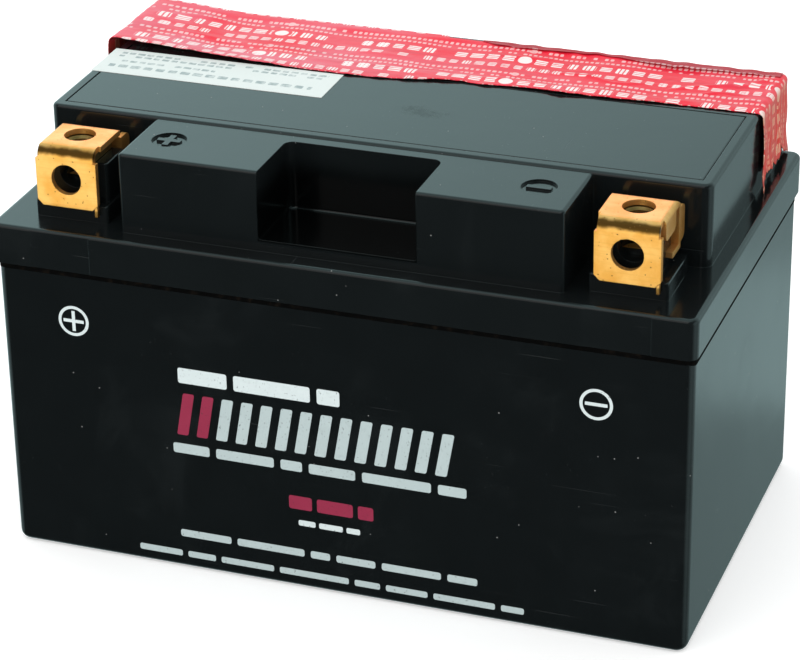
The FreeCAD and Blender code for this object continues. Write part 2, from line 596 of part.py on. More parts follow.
# ----------------------------------------------------------------- valve caps
for i in range(1, 7):
    c = cut("cap_solid_%d" % i,
            rounded("cap_round_%d" % i,
                    cyl("cap_raw_%d" % i, "z", cell_x(i), "0", "cap_z0", "cap_r", "cap_z1-cap_z0"),
                    [(lambda a, m: a is None and m.z > V["cap_z1"] - 0.01, 0.6)]),
            cyl("cap_inside_%d" % i, "z", cell_x(i), "0", "cap_z0-1", "cap_in", "seat_z-cap_z0+1"))
    node(c, "valve_cap_%d" % i)
node(cyl("arrestor_disc", "x", "-(cover_x-cover_ledge+arrestor_t)", "0", "arrestor_z", "arrestor_r", "arrestor_t"), "flame_arrestor")

# --------------------------------------------------------- cells, plate packs
PACK = "(5*neg_t+4*pos_t+8*sep_t)"
STEP = "(neg_t+pos_t+2*sep_t)"
welds = []
for i in range(1, 7):
    c = cell_x(i)
    pside = "-lug_y" if i % 2 else "lug_y"
    nside = "lug_y" if i % 2 else "-lug_y"
    neg, pos, sep = [], [], []
    for k in range(5):
        x = "%s-%s/2+%d*%s" % (c, PACK, k, STEP)
        plate = box("neg_%d_%d" % (i, k), x, x + "+neg_t", "-plate_hy", "plate_hy", "plate_z0", "plate_z1")
        lug = box("neg_lug_%d_%d" % (i, k), x, x + "+neg_t", nside + "-lug_w/2", nside + "+lug_w/2", "plate_z1-1", "strap_z0")
        neg.append(fuse("neg_plate_%d_%d" % (i, k), [plate, lug]))
        if k < 4:
            xp = x + "+neg_t+sep_t"
            plate = box("pos_%d_%d" % (i, k), xp, xp + "+pos_t", "-plate_hy", "plate_hy", "plate_z0", "plate_z1")
            lug = box("pos_lug_%d_%d" % (i, k), xp, xp + "+pos_t", pside + "-lug_w/2", pside + "+lug_w/2", "plate_z1-1", "strap_z0")
            pos.append(fuse("pos_plate_%d_%d" % (i, k), [plate, lug]))
            for q, xs in enumerate((x + "+neg_t", xp + "+pos_t")):
                sep.append(box("sep_%d_%d_%d" % (i, k, q), xs, xs + "+sep_t", "-sep_hy", "sep_hy", "sep_z0", "sep_z1"))
    node(group("positive_pack_%d" % i, pos), "positive_plates_cell_%d" % i)
    node(group("negative_pack_%d" % i, neg), "negative_plates_cell_%d" % i)
    node(group("separator_pack_%d" % i, sep), "separators_cell_%d" % i)
    for pol, side in (("positive", pside), ("negative", nside)):
        parts = [rounded("%s_bar_%d" % (pol, i),
                         box("%s_bar_raw_%d" % (pol, i), c + "-strap_x", c + "+strap_x", side + "-strap_w/2", side + "+strap_w/2",
                             "strap_z0", "strap_z1"), [(vert, 1.5)])]
        # the upright end that is welded through the partition to the next cell
        toward = -1 if pol == "positive" else 1
        has_next = (i > 1) if toward < 0 else (i < 6)
        if has_next:
            if toward < 0:
                xa, xb = c + "-%s/2" % CELL_W, c + "-%s/2+tomb_t" % CELL_W
            else:
                xa, xb = c + "+%s/2-tomb_t" % CELL_W, c + "+%s/2" % CELL_W
            parts.append(box("%s_upright_%d" % (pol, i), xa, xb, side + "-strap_w/2", side + "+strap_w/2", "strap_z0", "tomb_z1"))
        node(fuse("%s_strap_%d" % (pol, i), parts) if has_next else parts[0], "%s_strap_cell_%d" % (pol, i))
    if i < 6:
        welds.append(cyl("weld_%d" % i, "x", "%s+%s/2" % (c, CELL_W), "lug_y" if i % 2 else "-lug_y", "weld_z", "weld_r", "part_t"))
node(group("weld_buttons", welds), "intercell_welds")

# --------------------------------------------------------------- check, write
doc.recompute()
bad = [o.Name for o in doc.Objects if any(w in o.State for w in ("Invalid", "Error"))]
if bad:
    raise SystemExit("failed objects: %s" % bad)
os.makedirs("parts", exist_ok=True)
box_all = None
for name in sorted(nodes):
    shp = nodes[name].Shape
    if shp.isNull() or not shp.isValid() or not shp.Solids:
        raise SystemExit("bad shape: " + name)
    if box_all is None:
        box_all = shp.BoundBox
    else:
        box_all.add(shp.BoundBox)
if len(nodes) > 60:
    raise SystemExit("too many nodes")
for name in sorted(nodes):
    shp = nodes[name].Shape
    shp.exportStep("parts/%s.step" % name)
    print("%-28s solids %2d  volume %10.2f" % (name, len(shp.Solids), shp.Volume))
print("nodes", len(nodes), "box", box_all)
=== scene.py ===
import bpy, bmesh, math
import numpy as np
from mathutils import Matrix, Vector, noise as mn


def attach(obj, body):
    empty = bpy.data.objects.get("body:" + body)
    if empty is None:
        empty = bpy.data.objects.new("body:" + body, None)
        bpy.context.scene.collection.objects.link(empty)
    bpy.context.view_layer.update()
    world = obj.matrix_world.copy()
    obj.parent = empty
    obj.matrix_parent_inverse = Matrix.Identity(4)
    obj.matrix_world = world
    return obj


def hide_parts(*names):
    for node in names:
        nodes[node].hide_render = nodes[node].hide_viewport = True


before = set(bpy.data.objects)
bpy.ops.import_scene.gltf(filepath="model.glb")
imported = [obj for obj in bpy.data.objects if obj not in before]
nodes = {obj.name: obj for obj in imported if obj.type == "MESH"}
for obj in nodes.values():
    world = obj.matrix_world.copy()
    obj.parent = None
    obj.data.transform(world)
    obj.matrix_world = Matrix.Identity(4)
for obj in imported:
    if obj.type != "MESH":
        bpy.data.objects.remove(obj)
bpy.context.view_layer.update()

scene = bpy.context.scene
MM = 0.001


# ------------------------------------------------------------------ camera
def make_camera():
    cam = bpy.data.cameras.new("photo_camera")
    ob = bpy.data.objects.new("photo_camera", cam)
    scene.collection.objects.link(ob)
    cam.sensor_fit = "HORIZONTAL"
    cam.sensor_width = 36.0
    cam.lens = 140.816
    cam.shift_x = 0.06403
    cam.shift_y = 0.0
    cam.clip_start = 0.02
    cam.clip_end = 60.0
    right = Vector((0.936041, 0.351161, -0.022667))
    down = Vector((0.136702, -0.42223, -0.896122))
    fwd = Vector((-0.324254, 0.835708, -0.443229))
    m = Matrix.Identity(4)
    for i in range(3):
        m[i][0], m[i][1], m[i][2] = right[i], -down[i], -fwd[i]
    m.translation = Vector((0.20622367, -0.56503775, 0.33926708))
    ob.matrix_world = m
    scene.camera = ob


make_camera()
scene.view_settings.view_transform = "Standard"


# ------------------------------------------------------------------ node helpers
class G:
    """Short names for building a node tree."""

    def __init__(s, tree):
        s.t = tree
        s.t.nodes.clear()

    def n(s, kind, ins=None, **props):
        nd = s.t.nodes.new(kind)
        for k, v in props.items():
            setattr(nd, k, v)
        for k, v in (ins or {}).items():
            s.put(nd.inputs[k], v)
        return nd

    def put(s, sock, v):
        if isinstance(v, bpy.types.NodeSocket):
            s.t.links.new(v, sock)
        else:
            sock.default_value = v

    def math(s, op, a, b=None, c=None, clamp=False):
        nd = s.t.nodes.new("ShaderNodeMath")
        nd.operation = op
        nd.use_clamp = clamp
        for i, v in enumerate((a, b, c)):
            if v is not None:
                s.put(nd.inputs[i], v)
        return nd.outputs[0]

    def vmath(s, op, a, b=None, scale=None):
        nd = s.t.nodes.new("ShaderNodeVectorMath")
        nd.operation = op
        s.put(nd.inputs[0], a)
        if b is not None:
            s.put(nd.inputs[1], b)
        if scale is not None:
            s.put(nd.inputs["Scale"], scale)
        return nd.outputs["Value"] if op in ("DOT_PRODUCT", "LENGTH", "DISTANCE") else nd.outputs[0]

    def step(s, x, lo, hi, a=0.0, b=1.0):
        nd = s.t.nodes.new("ShaderNodeMapRange")
        nd.interpolation_type = "SMOOTHSTEP"
        s.put(nd.inputs["Value"], x)
        s.put(nd.inputs["From Min"], lo)
        s.put(nd.inputs["From Max"], hi)
        s.put(nd.inputs["To Min"], a)
        s.put(nd.inputs["To Max"], b)
        return nd.outputs["Result"]

    def lin(s, x, lo, hi, a=0.0, b=1.0, clamp=True):
        nd = s.t.nodes.new("ShaderNodeMapRange")
        nd.clamp = clamp
        for k, v in (("Value", x), ("From Min", lo), ("From Max", hi), ("To Min", a), ("To Max", b)):
            s.put(nd.inputs[k], v)
        return nd.outputs["Result"]

    def mix(s, f, a, b):
        nd = s.t.nodes.new("ShaderNodeMix")
        nd.data_type = "RGBA"
        s.put(nd.inputs[0], f)
        s.put(nd.inputs[6], a if isinstance(a, bpy.types.NodeSocket) else (*a, 1.0))
        s.put(nd.inputs[7], b if isinstance(b, bpy.types.NodeSocket) else (*b, 1.0))
        return nd.outputs[2]

    def noise(s, vec, scale, detail=2.0, rough=0.5, dist=0.0, out="Fac"):
        nd = s.n("ShaderNodeTexNoise", {"Vector": vec, "Scale": scale, "Detail": detail, "Roughness": rough, "Distortion": dist})
        return nd.outputs[out]

    def voronoi(s, vec, scale, feature="F1", rand=1.0):
        nd = s.n("ShaderNodeTexVoronoi", {"Vector": vec, "Scale": scale, "Randomness": rand}, feature=feature)
        return nd

    def mapping(s, vec, loc=(0, 0, 0), rot=(0, 0, 0), scale=(1, 1, 1)):
        nd = s.n("ShaderNodeMapping", {"Vector": vec, "Location": loc, "Rotation": rot, "Scale": scale})
        return nd.outputs[0]

    def bump(s, height, distance, normal=None, strength=1.0):
        nd = s.n("ShaderNodeBump", {"Height": height, "Distance": distance, "Strength": strength})
        if normal is not None:
            s.put(nd.inputs["Normal"], normal)
        return nd.outputs[0]

    def obj(s):
        return s.t.nodes.new("ShaderNodeTexCoord").outputs["Object"]


def material(name):
    m = bpy.data.materials.new(name)
    m.use_nodes = True
    return m, G(m.node_tree)


def finish(g, **ins):
    """A Principled shader with the given inputs, joined to the output."""
    bsdf = g.n("ShaderNodeBsdfPrincipled", {k.replace("_", " "): v for k, v in ins.items()})
    out = g.n("ShaderNodeOutputMaterial")
    g.t.links.new(bsdf.outputs[0], out.inputs[0])
    return bsdf


# ------------------------------------------------------------------ plastic
def black_plastic(name, base=(0.0043, 0.0056, 0.0060), rough=0.09, seed=0.0, dust=1.0, peel=1.0, seam=None, smear=None, notch=False):
    m, g = material(name)
    co = g.mapping(g.obj(), loc=(seed, seed * 0.7, -seed * 0.4))
    # moulded skin: slow sink waves, orange peel and a fine grain
    waves = g.noise(co, 55.0, 2.0)
    orange = g.noise(co, 900.0, 2.0, 0.6)
    grain = g.noise(co, 5200.0, 1.0)
    # scuffs, two directions of hairline scratches, dust
    smudge = g.step(g.noise(co, 42.0, 4.0, 0.62, 0.8), 0.50, 0.74)
    s1 = g.noise(g.mapping(co, rot=(0.3, 0.5, 0.45), scale=(34.0, 3600.0, 3600.0)), 1.0, 0.0)
    s2 = g.noise(g.mapping(co, rot=(1.1, -0.2, -0.8), scale=(3300.0, 42.0, 3300.0)), 1.0, 0.0)
    patch = g.step(g.noise(co, 70.0, 1.0), 0.45, 0.62)
    scratch = g.math("MULTIPLY", g.math("MAXIMUM", g.step(s1, 0.79, 0.85), g.step(s2, 0.80, 0.86)), patch)
    v = g.voronoi(co, 250.0)
    pick = g.step(g.n("ShaderNodeSeparateColor", {0: v.outputs["Color"]}).outputs[0], 0.35, 0.40)
    speck = g.math("MULTIPLY", g.step(v.outputs["Distance"], 0.045, 0.025), pick)
    v2 = g.voronoi(co, 900.0)
    pick2 = g.step(g.n("ShaderNodeSeparateColor", {0: v2.outputs["Color"]}).outputs[1], 0.72, 0.75)
    speck2 = g.math("MULTIPLY", g.step(v2.outputs["Distance"], 0.06, 0.03), pick2)
    specks = g.math("MAXIMUM", speck, speck2, clamp=True)
    tone = g.mix(g.noise(co, 130.0, 3.0), base, tuple(c * 1.35 for c in base))
    tone = g.mix(g.math("MULTIPLY", smudge, 0.30), tone, (0.014, 0.018, 0.019))
    tone = g.mix(g.math("MULTIPLY", scratch, 0.14), tone, (0.11, 0.12, 0.12))
    tone = g.mix(g.math("MULTIPLY", specks, 0.55 * dust), tone, (0.42, 0.42, 0.40))
    r = g.math("ADD", rough, g.math("MULTIPLY", orange, 0.05))
    r = g.math("ADD", r, g.math("MULTIPLY", smudge, 0.07))
    r = g.math("ADD", r, g.math("MULTIPLY", scratch, 0.12))
    r = g.math("ADD", r, g.math("MULTIPLY", specks, 0.45), clamp=True)
    if seam:
        # painted shade in the groove where the case meets the lid's skirt: above this height the base colour is
        # darkened and the roughness raised
        zz = g.n("ShaderNodeSeparateXYZ", {0: g.obj()}).outputs[2]
        seam_shade = g.step(g.math("ADD", zz, g.math("MULTIPLY", g.noise(co, 900.0, 2.0), 0.0002)), seam, seam + 0.00018)
        tone = g.mix(g.math("MULTIPLY", seam_shade, 0.9), tone, (0.0016, 0.0016, 0.0014))
        r = g.math("ADD", r, g.math("MULTIPLY", seam_shade, 0.75), clamp=True)
    if notch:
        # painted shade: the hold-down notch is darkened towards its floor
        px, py, pz = g.n("ShaderNodeSeparateXYZ", {0: g.obj()}).outputs[0:3]
        notch_shade = g.math("MULTIPLY", g.step(g.math("ABSOLUTE", px), 0.01705, 0.01685), g.step(py, -0.0218, -0.0222))
        notch_shade = g.math("MULTIPLY", notch_shade, g.math("MULTIPLY", g.step(pz, 0.0905, 0.0845), g.step(pz, 0.0771, 0.0775)))
        tone = g.mix(g.math("MULTIPLY", notch_shade, 0.92), tone, (0.0008, 0.0010, 0.0010))
    if smear:
        # one dull smear of grime, 13 x 5 mm
        q = g.mapping(g.obj(), loc=smear, rot=(0, 0, 0.10))
        px, py = g.n("ShaderNodeSeparateXYZ", {0: q}).outputs[0:2]
        ex, ey = g.math("DIVIDE", px, 0.0068), g.math("DIVIDE", py, 0.0030)
        rr = g.math("ADD", g.math("MULTIPLY", ex, ex), g.math("MULTIPLY", ey, ey))
        rr = g.math("ADD", rr, g.math("MULTIPLY", g.math("SUBTRACT", g.noise(g.obj(), 420.0, 3.0), 0.5), 2.6))
        blot = g.math("MULTIPLY", g.step(rr, 1.30, 0.15), g.lin(g.noise(g.obj(), 900.0, 3.0), 0.35, 0.6, 0.45, 1.0))
        r = g.math("ADD", r, g.math("MULTIPLY", blot, 0.22), clamp=True)
        tone = g.mix(g.math("MULTIPLY", blot, 0.7), tone, (0.0015, 0.0018, 0.0018))
    edge = g.n("ShaderNodeBevel", {"Radius": 0.00022}, samples=4).outputs[0]
    nrm = g.bump(waves, 4.5e-5, edge)
    nrm = g.bump(orange, 5.0e-6 * peel, nrm)
    nrm = g.bump(grain, 4.0e-7, nrm)
    nrm = g.bump(scratch, -3.0e-6, nrm)
    finish(g, Base_Color=tone, Roughness=r, Normal=nrm)
    return m


# ------------------------------------------------------------------ metals
def yellow_plate(name):
    """Yellow-passivated sheet: satin, faintly brushed and pitted, with painted shade along the front-to-top bend and
    on its low tang.
    """
    m, g = material(name)
    co = g.obj()
    brush = g.noise(g.mapping(co, scale=(90.0, 2600.0, 2600.0)), 1.0, 2.0)
    cloud = g.noise(co, 190.0, 4.0, 0.6)
    fine = g.noise(co, 2600.0, 3.0, 0.6)
    v = g.voronoi(co, 1150.0)
    pick = g.step(g.n("ShaderNodeSeparateColor", {0: v.outputs["Color"]}).outputs[0], 0.50, 0.54)
    pit = g.math("MULTIPLY", g.step(v.outputs["Distance"], 0.20, 0.09), pick)
    sep = g.n("ShaderNodeSeparateXYZ", {0: co})
    y, z = sep.outputs[1], sep.outputs[2]
    # distance from the middle line of the front-to-top bend, where a band of painted shade darkens the plate
    dy = g.math("SUBTRACT", y, -0.03737)
    dz = g.math("SUBTRACT", z, 0.09048)
    line = g.math("SQRT", g.math("ADD", g.math("MULTIPLY", dy, dy), g.math("MULTIPLY", dz, dz)))
    wob = g.math("MULTIPLY", g.math("SUBTRACT", g.noise(co, 420.0, 3.0), 0.5), 0.0011)
    bend = g.step(g.math("ADD", line, wob), 0.0014, 0.0004)
    # painted shade: the plate below 78.5 mm, its low tang, is darkened
    low = g.step(z, 0.07850, 0.07790)
    col = g.mix(g.step(cloud, 0.32, 0.70), (0.86, 0.40, 0.095), (0.99, 0.54, 0.19))
    col = g.mix(g.math("MULTIPLY", g.step(brush, 0.48, 0.70), 0.30), col, (0.78, 0.38, 0.10))
    col = g.mix(g.math("MULTIPLY", bend, 0.97), col, (0.085, 0.040, 0.004))
    col = g.mix(g.math("MULTIPLY", low, 0.75), col, (0.16, 0.08, 0.02))
    col = g.mix(g.math("MULTIPLY", pit, 0.75), col, (0.26, 0.14, 0.04))
    r = g.math("ADD", 0.34, g.math("MULTIPLY", fine, 0.14))
    r = g.math("ADD", r, g.math("MULTIPLY", pit, 0.25), clamp=True)
    edge = g.n("ShaderNodeBevel", {"Radius": 0.00025}, samples=4).outputs[0]
    nrm = g.bump(cloud, 2.6e-5, edge)
    nrm = g.bump(brush, 5.0e-6, nrm)
    nrm = g.bump(fine, 2.5e-6, nrm)
    nrm = g.bump(pit, -2.2e-5, nrm)
    finish(g, Base_Color=col, Metallic=0.86, Roughness=r, Normal=nrm)
    return m


def metal(name, c1, c2, rough=0.35, thread=None, metallic=1.0):
    m, g = material(name)
    co = g.obj()
    cloud = g.noise(co, 350.0, 4.0, 0.6)
    fine = g.noise(co, 3200.0, 2.0)
    col = g.mix(g.step(cloud, 0.35, 0.68), c1, c2)
    spots = g.step(g.noise(co, 900.0, 2.0), 0.62, 0.72)
    col = g.mix(g.math("MULTIPLY", spots, 0.4), col, tuple(c * 0.55 for c in c1))
    r = g.math("ADD", rough, g.math("MULTIPLY", fine, 0.2), clamp=True)
    nrm = g.bump(cloud, 2.0e-5)
    nrm = g.bump(fine, 3.0e-6, nrm)
    if thread:
        sep = g.n("ShaderNodeSeparateXYZ", {0: co})
        wave = g.math("PINGPONG", sep.outputs[2], thread / 2.0)
        nrm = g.bump(g.math("MULTIPLY", wave, 1.0 / thread), 6.0e-5, nrm)
    finish(g, Base_Color=col, Metallic=metallic, Roughness=r, Normal=nrm)
    return m


# ------------------------------------------------------------------ inner parts
def rubber(name, base):
    m, g = material(name)
    co = g.obj()
    n1 = g.noise(co, 700.0, 4.0, 0.6)
    col = g.mix(n1, base, tuple(c * 2.2 + 0.01 for c in base))
    bloom = g.step(g.noise(co, 160.0, 3.0), 0.52, 0.72)
    col = g.mix(g.math("MULTIPLY", bloom, 0.25), col, (0.12, 0.12, 0.115))
    r = g.math("ADD", 0.55, g.math("MULTIPLY", n1, 0.25))
    finish(g, Base_Color=col, Roughness=r, Normal=g.bump(n1, 1.5e-5))
    return m


def porous(name):
    m, g = material(name)
    co = g.obj()
    v = g.voronoi(co, 2600.0)
    n1 = g.noise(co, 1200.0, 4.0, 0.7)
    pore = g.step(v.outputs["Distance"], 0.35, 0.12)
    col = g.mix(n1, (0.62, 0.60, 0.55), (0.80, 0.78, 0.73))
    col = g.mix(g.math("MULTIPLY", pore, 0.6), col, (0.34, 0.32, 0.29))
    r = g.math("ADD", 0.75, g.math("MULTIPLY", n1, 0.2))
    nrm = g.bump(pore, -5.0e-5)
    finish(g, Base_Color=col, Roughness=r, Normal=g.bump(n1, 2.0e-5, nrm))
    return m


def plate(name, paste, paste2, wire):
    """A pasted lead grid: the paste, with the grid's wires showing through."""
    m, g = material(name)
    co = g.obj()
    sep = g.n("ShaderNodeSeparateXYZ", {0: co})
    fx = g.math("PINGPONG", sep.outputs[1], 0.0032)
    fz = g.math("PINGPONG", sep.outputs[2], 0.0024)
    lines = g.math("MAXIMUM", g.step(fx, 0.00045, 0.00025), g.step(fz, 0.00040, 0.00020))
    n1 = g.noise(co, 1500.0, 5.0, 0.65)
    n2 = g.noise(co, 240.0, 3.0)
    col = g.mix(g.step(n1, 0.3, 0.7), paste, paste2)
    col = g.mix(g.math("MULTIPLY", g.step(n2, 0.5, 0.7), 0.3), col, tuple(c * 0.6 for c in paste))
    col = g.mix(g.math("MULTIPLY", lines, 0.55), col, wire)
    r = g.math("SUBTRACT", 0.92, g.math("MULTIPLY", lines, 0.30))
    nrm = g.bump(lines, 1.2e-4)
    finish(g, Base_Color=col, Roughness=r, Normal=g.bump(n1, 3.0e-5, nrm))
    return m


def glass_mat(name):
    m, g = material(name)
    co = g.obj()
    f1 = g.noise(g.mapping(co, rot=(0.4, 0.2, 0.1), scale=(5000.0, 240.0, 5000.0)), 1.0, 1.0)
    f2 = g.noise(g.mapping(co, rot=(-0.5, 0.1, 0.6), scale=(4600.0, 4600.0, 260.0)), 1.0, 1.0)
    fib = g.math("MAXIMUM", g.step(f1, 0.5, 0.75), g.step(f2, 0.5, 0.75))
    n1 = g.noise(co, 300.0, 3.0)
    col = g.mix(n1, (0.70, 0.71, 0.69), (0.82, 0.83, 0.80))
    col = g.mix(fib, col, (0.93, 0.93, 0.91))
    finish(g, Base_Color=col, Roughness=g.math("ADD", 0.85, g.math("MULTIPLY", fib, 0.1)), Normal=g.bump(fib, 4.0e-5))
    return m


# ------------------------------------------------------------------ printed dashes, as nodes
def dash_row(g, u, v, centre, half, pitch, seed, fill=0.80, soft=0.10, strokes=0.0):
    """A row of rounded marks along u at height v: 1 on a mark. All sizes in mm."""
    cell = g.math("DIVIDE", u, pitch)
    idx = g.math("FLOOR", cell)
    rnd = g.n("ShaderNodeTexWhiteNoise", {"W": g.math("ADD", idx, seed)}, noise_dimensions="1D").outputs["Value"]
    frac = g.math("ABSOLUTE", g.math("SUBTRACT", g.math("FRACT", cell), 0.5))
    wid = g.lin(rnd, 0.0, 1.0, 0.5 * fill - 0.12, 0.5 * fill)
    # rounded-box distance, in mm
    qx = g.math("MAXIMUM", g.math("MULTIPLY", g.math("SUBTRACT", frac, g.math("SUBTRACT", wid, half * 0.45 / pitch)), pitch), 0.0)
    qy = g.math("MAXIMUM", g.math("SUBTRACT", g.math("ABSOLUTE", g.math("SUBTRACT", v, centre)), half * 0.55), 0.0)
    d = g.math("SQRT", g.math("ADD", g.math("MULTIPLY", qx, qx), g.math("MULTIPLY", qy, qy)))
    mark = g.step(d, half * 0.45 + soft * 0.5, half * 0.45 - soft * 0.5)
    mark = g.math("MULTIPLY", mark, g.math("GREATER_THAN", rnd, 0.10))
    if strokes:
        # each mark is hatched one way or the other
        pick = g.n("ShaderNodeTexWhiteNoise", {"W": g.math("ADD", idx, seed + 313.0)}, noise_dimensions="1D").outputs["Value"]
        hu = g.math("ABSOLUTE", g.math("SUBTRACT", g.math("FRACT", g.math("DIVIDE", u, strokes)), 0.5))
        hv = g.math("ABSOLUTE", g.math("SUBTRACT", g.math("FRACT", g.math("DIVIDE", g.math("SUBTRACT", v, centre), strokes * 0.92)), 0.5))
        lu, lv = g.step(hu, 0.11, 0.21), g.step(hv, 0.11, 0.21)
        way = g.math("GREATER_THAN", pick, 0.52)
        both = g.math("GREATER_THAN", pick, 0.80)
        hatch = g.math("ADD", g.math("MULTIPLY", lu, way), g.math("MULTIPLY", lv, g.math("SUBTRACT", 1.0, way)))
        hatch = g.math("MAXIMUM", hatch, g.math("MULTIPLY", lv, both))
        mark = g.math("MULTIPLY", mark, hatch)
    return mark


def paper_label(name):
    m, g = material(name)
    co = g.obj()
    mm = g.vmath("SCALE", co, scale=1000.0)
    sep = g.n("ShaderNodeSeparateXYZ", {0: mm})
    x, y = sep.outputs[0], sep.outputs[1]
    rows = None
    for yc, h, p, sd, x0, x1 in ((11.75, 0.50, 2.1, 3.0, -68.6, -20.6), (10.15, 0.50, 2.1, 17.0, -68.6, -21.6),
                                 (7.35, 0.50, 2.1, 31.0, -68.6, -45.0), (4.45, 0.78, 2.9, 47.0, -68.6, -21.8)):
        r = dash_row(g, x, y, yc, h, p, sd, 0.86)
        r = g.math("MULTIPLY", r, g.math("MULTIPLY", g.math("GREATER_THAN", x, x0), g.math("LESS_THAN", x, x1)))
        rows = r if rows is None else g.math("MAXIMUM", rows, r)
    worn = g.step(g.noise(co, 620.0, 4.0, 0.65), 0.34, 0.60)
    cloud = g.noise(co, 90.0, 4.0, 0.6)
    fibre = g.noise(co, 2600.0, 3.0, 0.6)
    col = g.mix(cloud, (0.76, 0.83, 0.80), (0.83, 0.875, 0.855))
    col = g.mix(g.math("MULTIPLY", fibre, 0.10), col, (0.66, 0.70, 0.68))
    col = g.mix(g.math("MULTIPLY", rows, g.lin(worn, 0.0, 1.0, 0.25, 0.80)), col, (0.24, 0.32, 0.33))
    nrm = g.bump(fibre, 2.0e-6)
    nrm = g.bump(cloud, 3.0e-5, nrm)
    finish(g, Base_Color=col, Roughness=g.math("ADD", 0.42, g.math("MULTIPLY", fibre, 0.15)), Normal=nrm)
    return m


def seal_film(name, dark=0.0):
    """Red printed film: glossy, with a painted pink reflection in places, and rows of pale marks."""
    m, g = material(name)
    at = g.n("ShaderNodeAttribute", attribute_name="film").outputs["Vector"]
    sep = g.n("ShaderNodeSeparateXYZ", {0: at})
    u, v, edge = sep.outputs[0], sep.outputs[1], sep.outputs[2]
    co = g.obj()
    # rows repeat every 13.4 mm towards the back edge
    vv = g.math("MULTIPLY", g.math("FRACT", g.math("DIVIDE", g.math("SUBTRACT", v, 21.5), 13.4)), 13.4)
    band = g.math("FLOOR", g.math("DIVIDE", g.math("SUBTRACT", v, 21.5), 13.4))
    us = g.math("ADD", u, g.math("MULTIPLY", band, 0.35))
    big = dash_row(g, us, vv, 11.8, 1.40, 3.6, 5.0, 0.82, 0.16, 0.92)
    med = dash_row(g, us, vv, 7.6, 1.0, 2.9, 23.0, 0.80, 0.16, 0.74)
    sm1 = dash_row(g, us, vv, 3.9, 0.46, 1.25, 41.0, 0.76, 0.14)
    sm2 = dash_row(g, us, vv, 1.8, 0.42, 1.15, 57.0, 0.76, 0.14)
    # a round dot starts each repeat along the row, every 56.1 mm
    du = g.math("SUBTRACT", g.math("MULTIPLY", g.math("FRACT", g.math("DIVIDE", g.math("ADD", u, 68.0), 56.1)), 56.1), 28.05)
    dv = g.math("SUBTRACT", vv, 11.8)
    dd = g.math("SQRT", g.math("ADD", g.math("MULTIPLY", du, du), g.math("MULTIPLY", dv, dv)))
    dot = g.step(dd, 1.62, 1.46)
    clear = g.math("GREATER_THAN", dd, 2.35)
    dv2 = g.math("SUBTRACT", vv, 3.9)
    du2 = g.math("SUBTRACT", du, 0.3)
    dd2 = g.math("SQRT", g.math("ADD", g.math("MULTIPLY", du2, du2), g.math("MULTIPLY", dv2, dv2)))
    dot2 = g.step(dd2, 0.95, 0.82)
    strong = g.math("MAXIMUM", dot, g.math("MULTIPLY", big, clear))
    faint = g.math("MAXIMUM", g.math("MAXIMUM", sm1, sm2), dot2)
    wear = g.step(g.noise(co, 520.0, 4.0, 0.6), 0.25, 0.48)
    strong = g.math("MULTIPLY", strong, g.lin(wear, 0.0, 1.0, 0.55, 1.0))
    med = g.math("MULTIPLY", med, g.lin(wear, 0.0, 1.0, 0.35, 0.88))
    faint = g.math("MULTIPLY", faint, g.lin(wear, 0.0, 1.0, 0.15, 0.58))
    ink = g.math("MAXIMUM", g.math("MAXIMUM", strong, med), faint)
    # film tone, with a painted pink reflection that is stronger towards the left end
    cloud = g.noise(g.mapping(co, scale=(26.0, 60.0, 60.0)), 1.0, 3.0, 0.55, 0.6)
    left = g.step(u, 12.0, -46.0)
    painted_sheen = g.math("MULTIPLY", g.step(cloud, 0.38, 0.66), g.lin(left, 0.0, 1.0, 0.30, 0.95))
    k = 1.0 - 0.48 * dark
    red = (0.92 * k, 0.016 * k, 0.045 * k)
    pink = (0.88 * k, 0.17 * k, 0.235 * k)
    col = g.mix(painted_sheen, red, pink)
    streak = g.step(g.noise(g.mapping(co, scale=(40.0, 420.0, 420.0)), 1.0, 3.0), 0.52, 0.70)
    col = g.mix(g.math("MULTIPLY", streak, 0.22), col, (0.50 * k, 0.03 * k, 0.06 * k))
    # painted shade: where the film hangs down its ends, the film and its ink are darkened
    side = g.step(g.math("ABSOLUTE", u), 70.2, 72.8)
    col = g.mix(g.math("MULTIPLY", side, 0.85), col, (0.50 * k, 0.055 * k, 0.032 * k))
    white = g.mix(side, (0.98, 0.88, 0.86), (0.66, 0.30, 0.19))
    col = g.mix(g.math("MULTIPLY", ink, 1.0 - 0.25 * dark), col, white)
    # torn edges show their pale core
    torn = g.math("MULTIPLY", g.step(edge, 0.32, 0.12), g.step(g.noise(co, 1500.0, 2.0), 0.55, 0.64))
    col = g.mix(g.math("MULTIPLY", torn, 0.8), col, (0.90, 0.80, 0.70))
    fine = g.noise(co, 1800.0, 3.0, 0.6)
    r = g.math("ADD", 0.27, g.math("MULTIPLY", fine, 0.10))
    r = g.math("ADD", r, g.math("MULTIPLY", painted_sheen, 0.10), clamp=True)
    crease = g.n("ShaderNodeTexNoise", {"Vector": g.mapping(co, rot=(0.1, 0.2, 0.35), scale=(150.0, 420.0, 200.0)), "Scale": 1.0, "Detail": 2.0, "Distortion": 0.8}).outputs[0]
    nrm = g.bump(crease, 9.0e-5)
    nrm = g.bump(fine, 4.0e-6, nrm)
    finish(g, Base_Color=col, Roughness=r, Normal=nrm, Specular_IOR_Level=0.25)
    return m


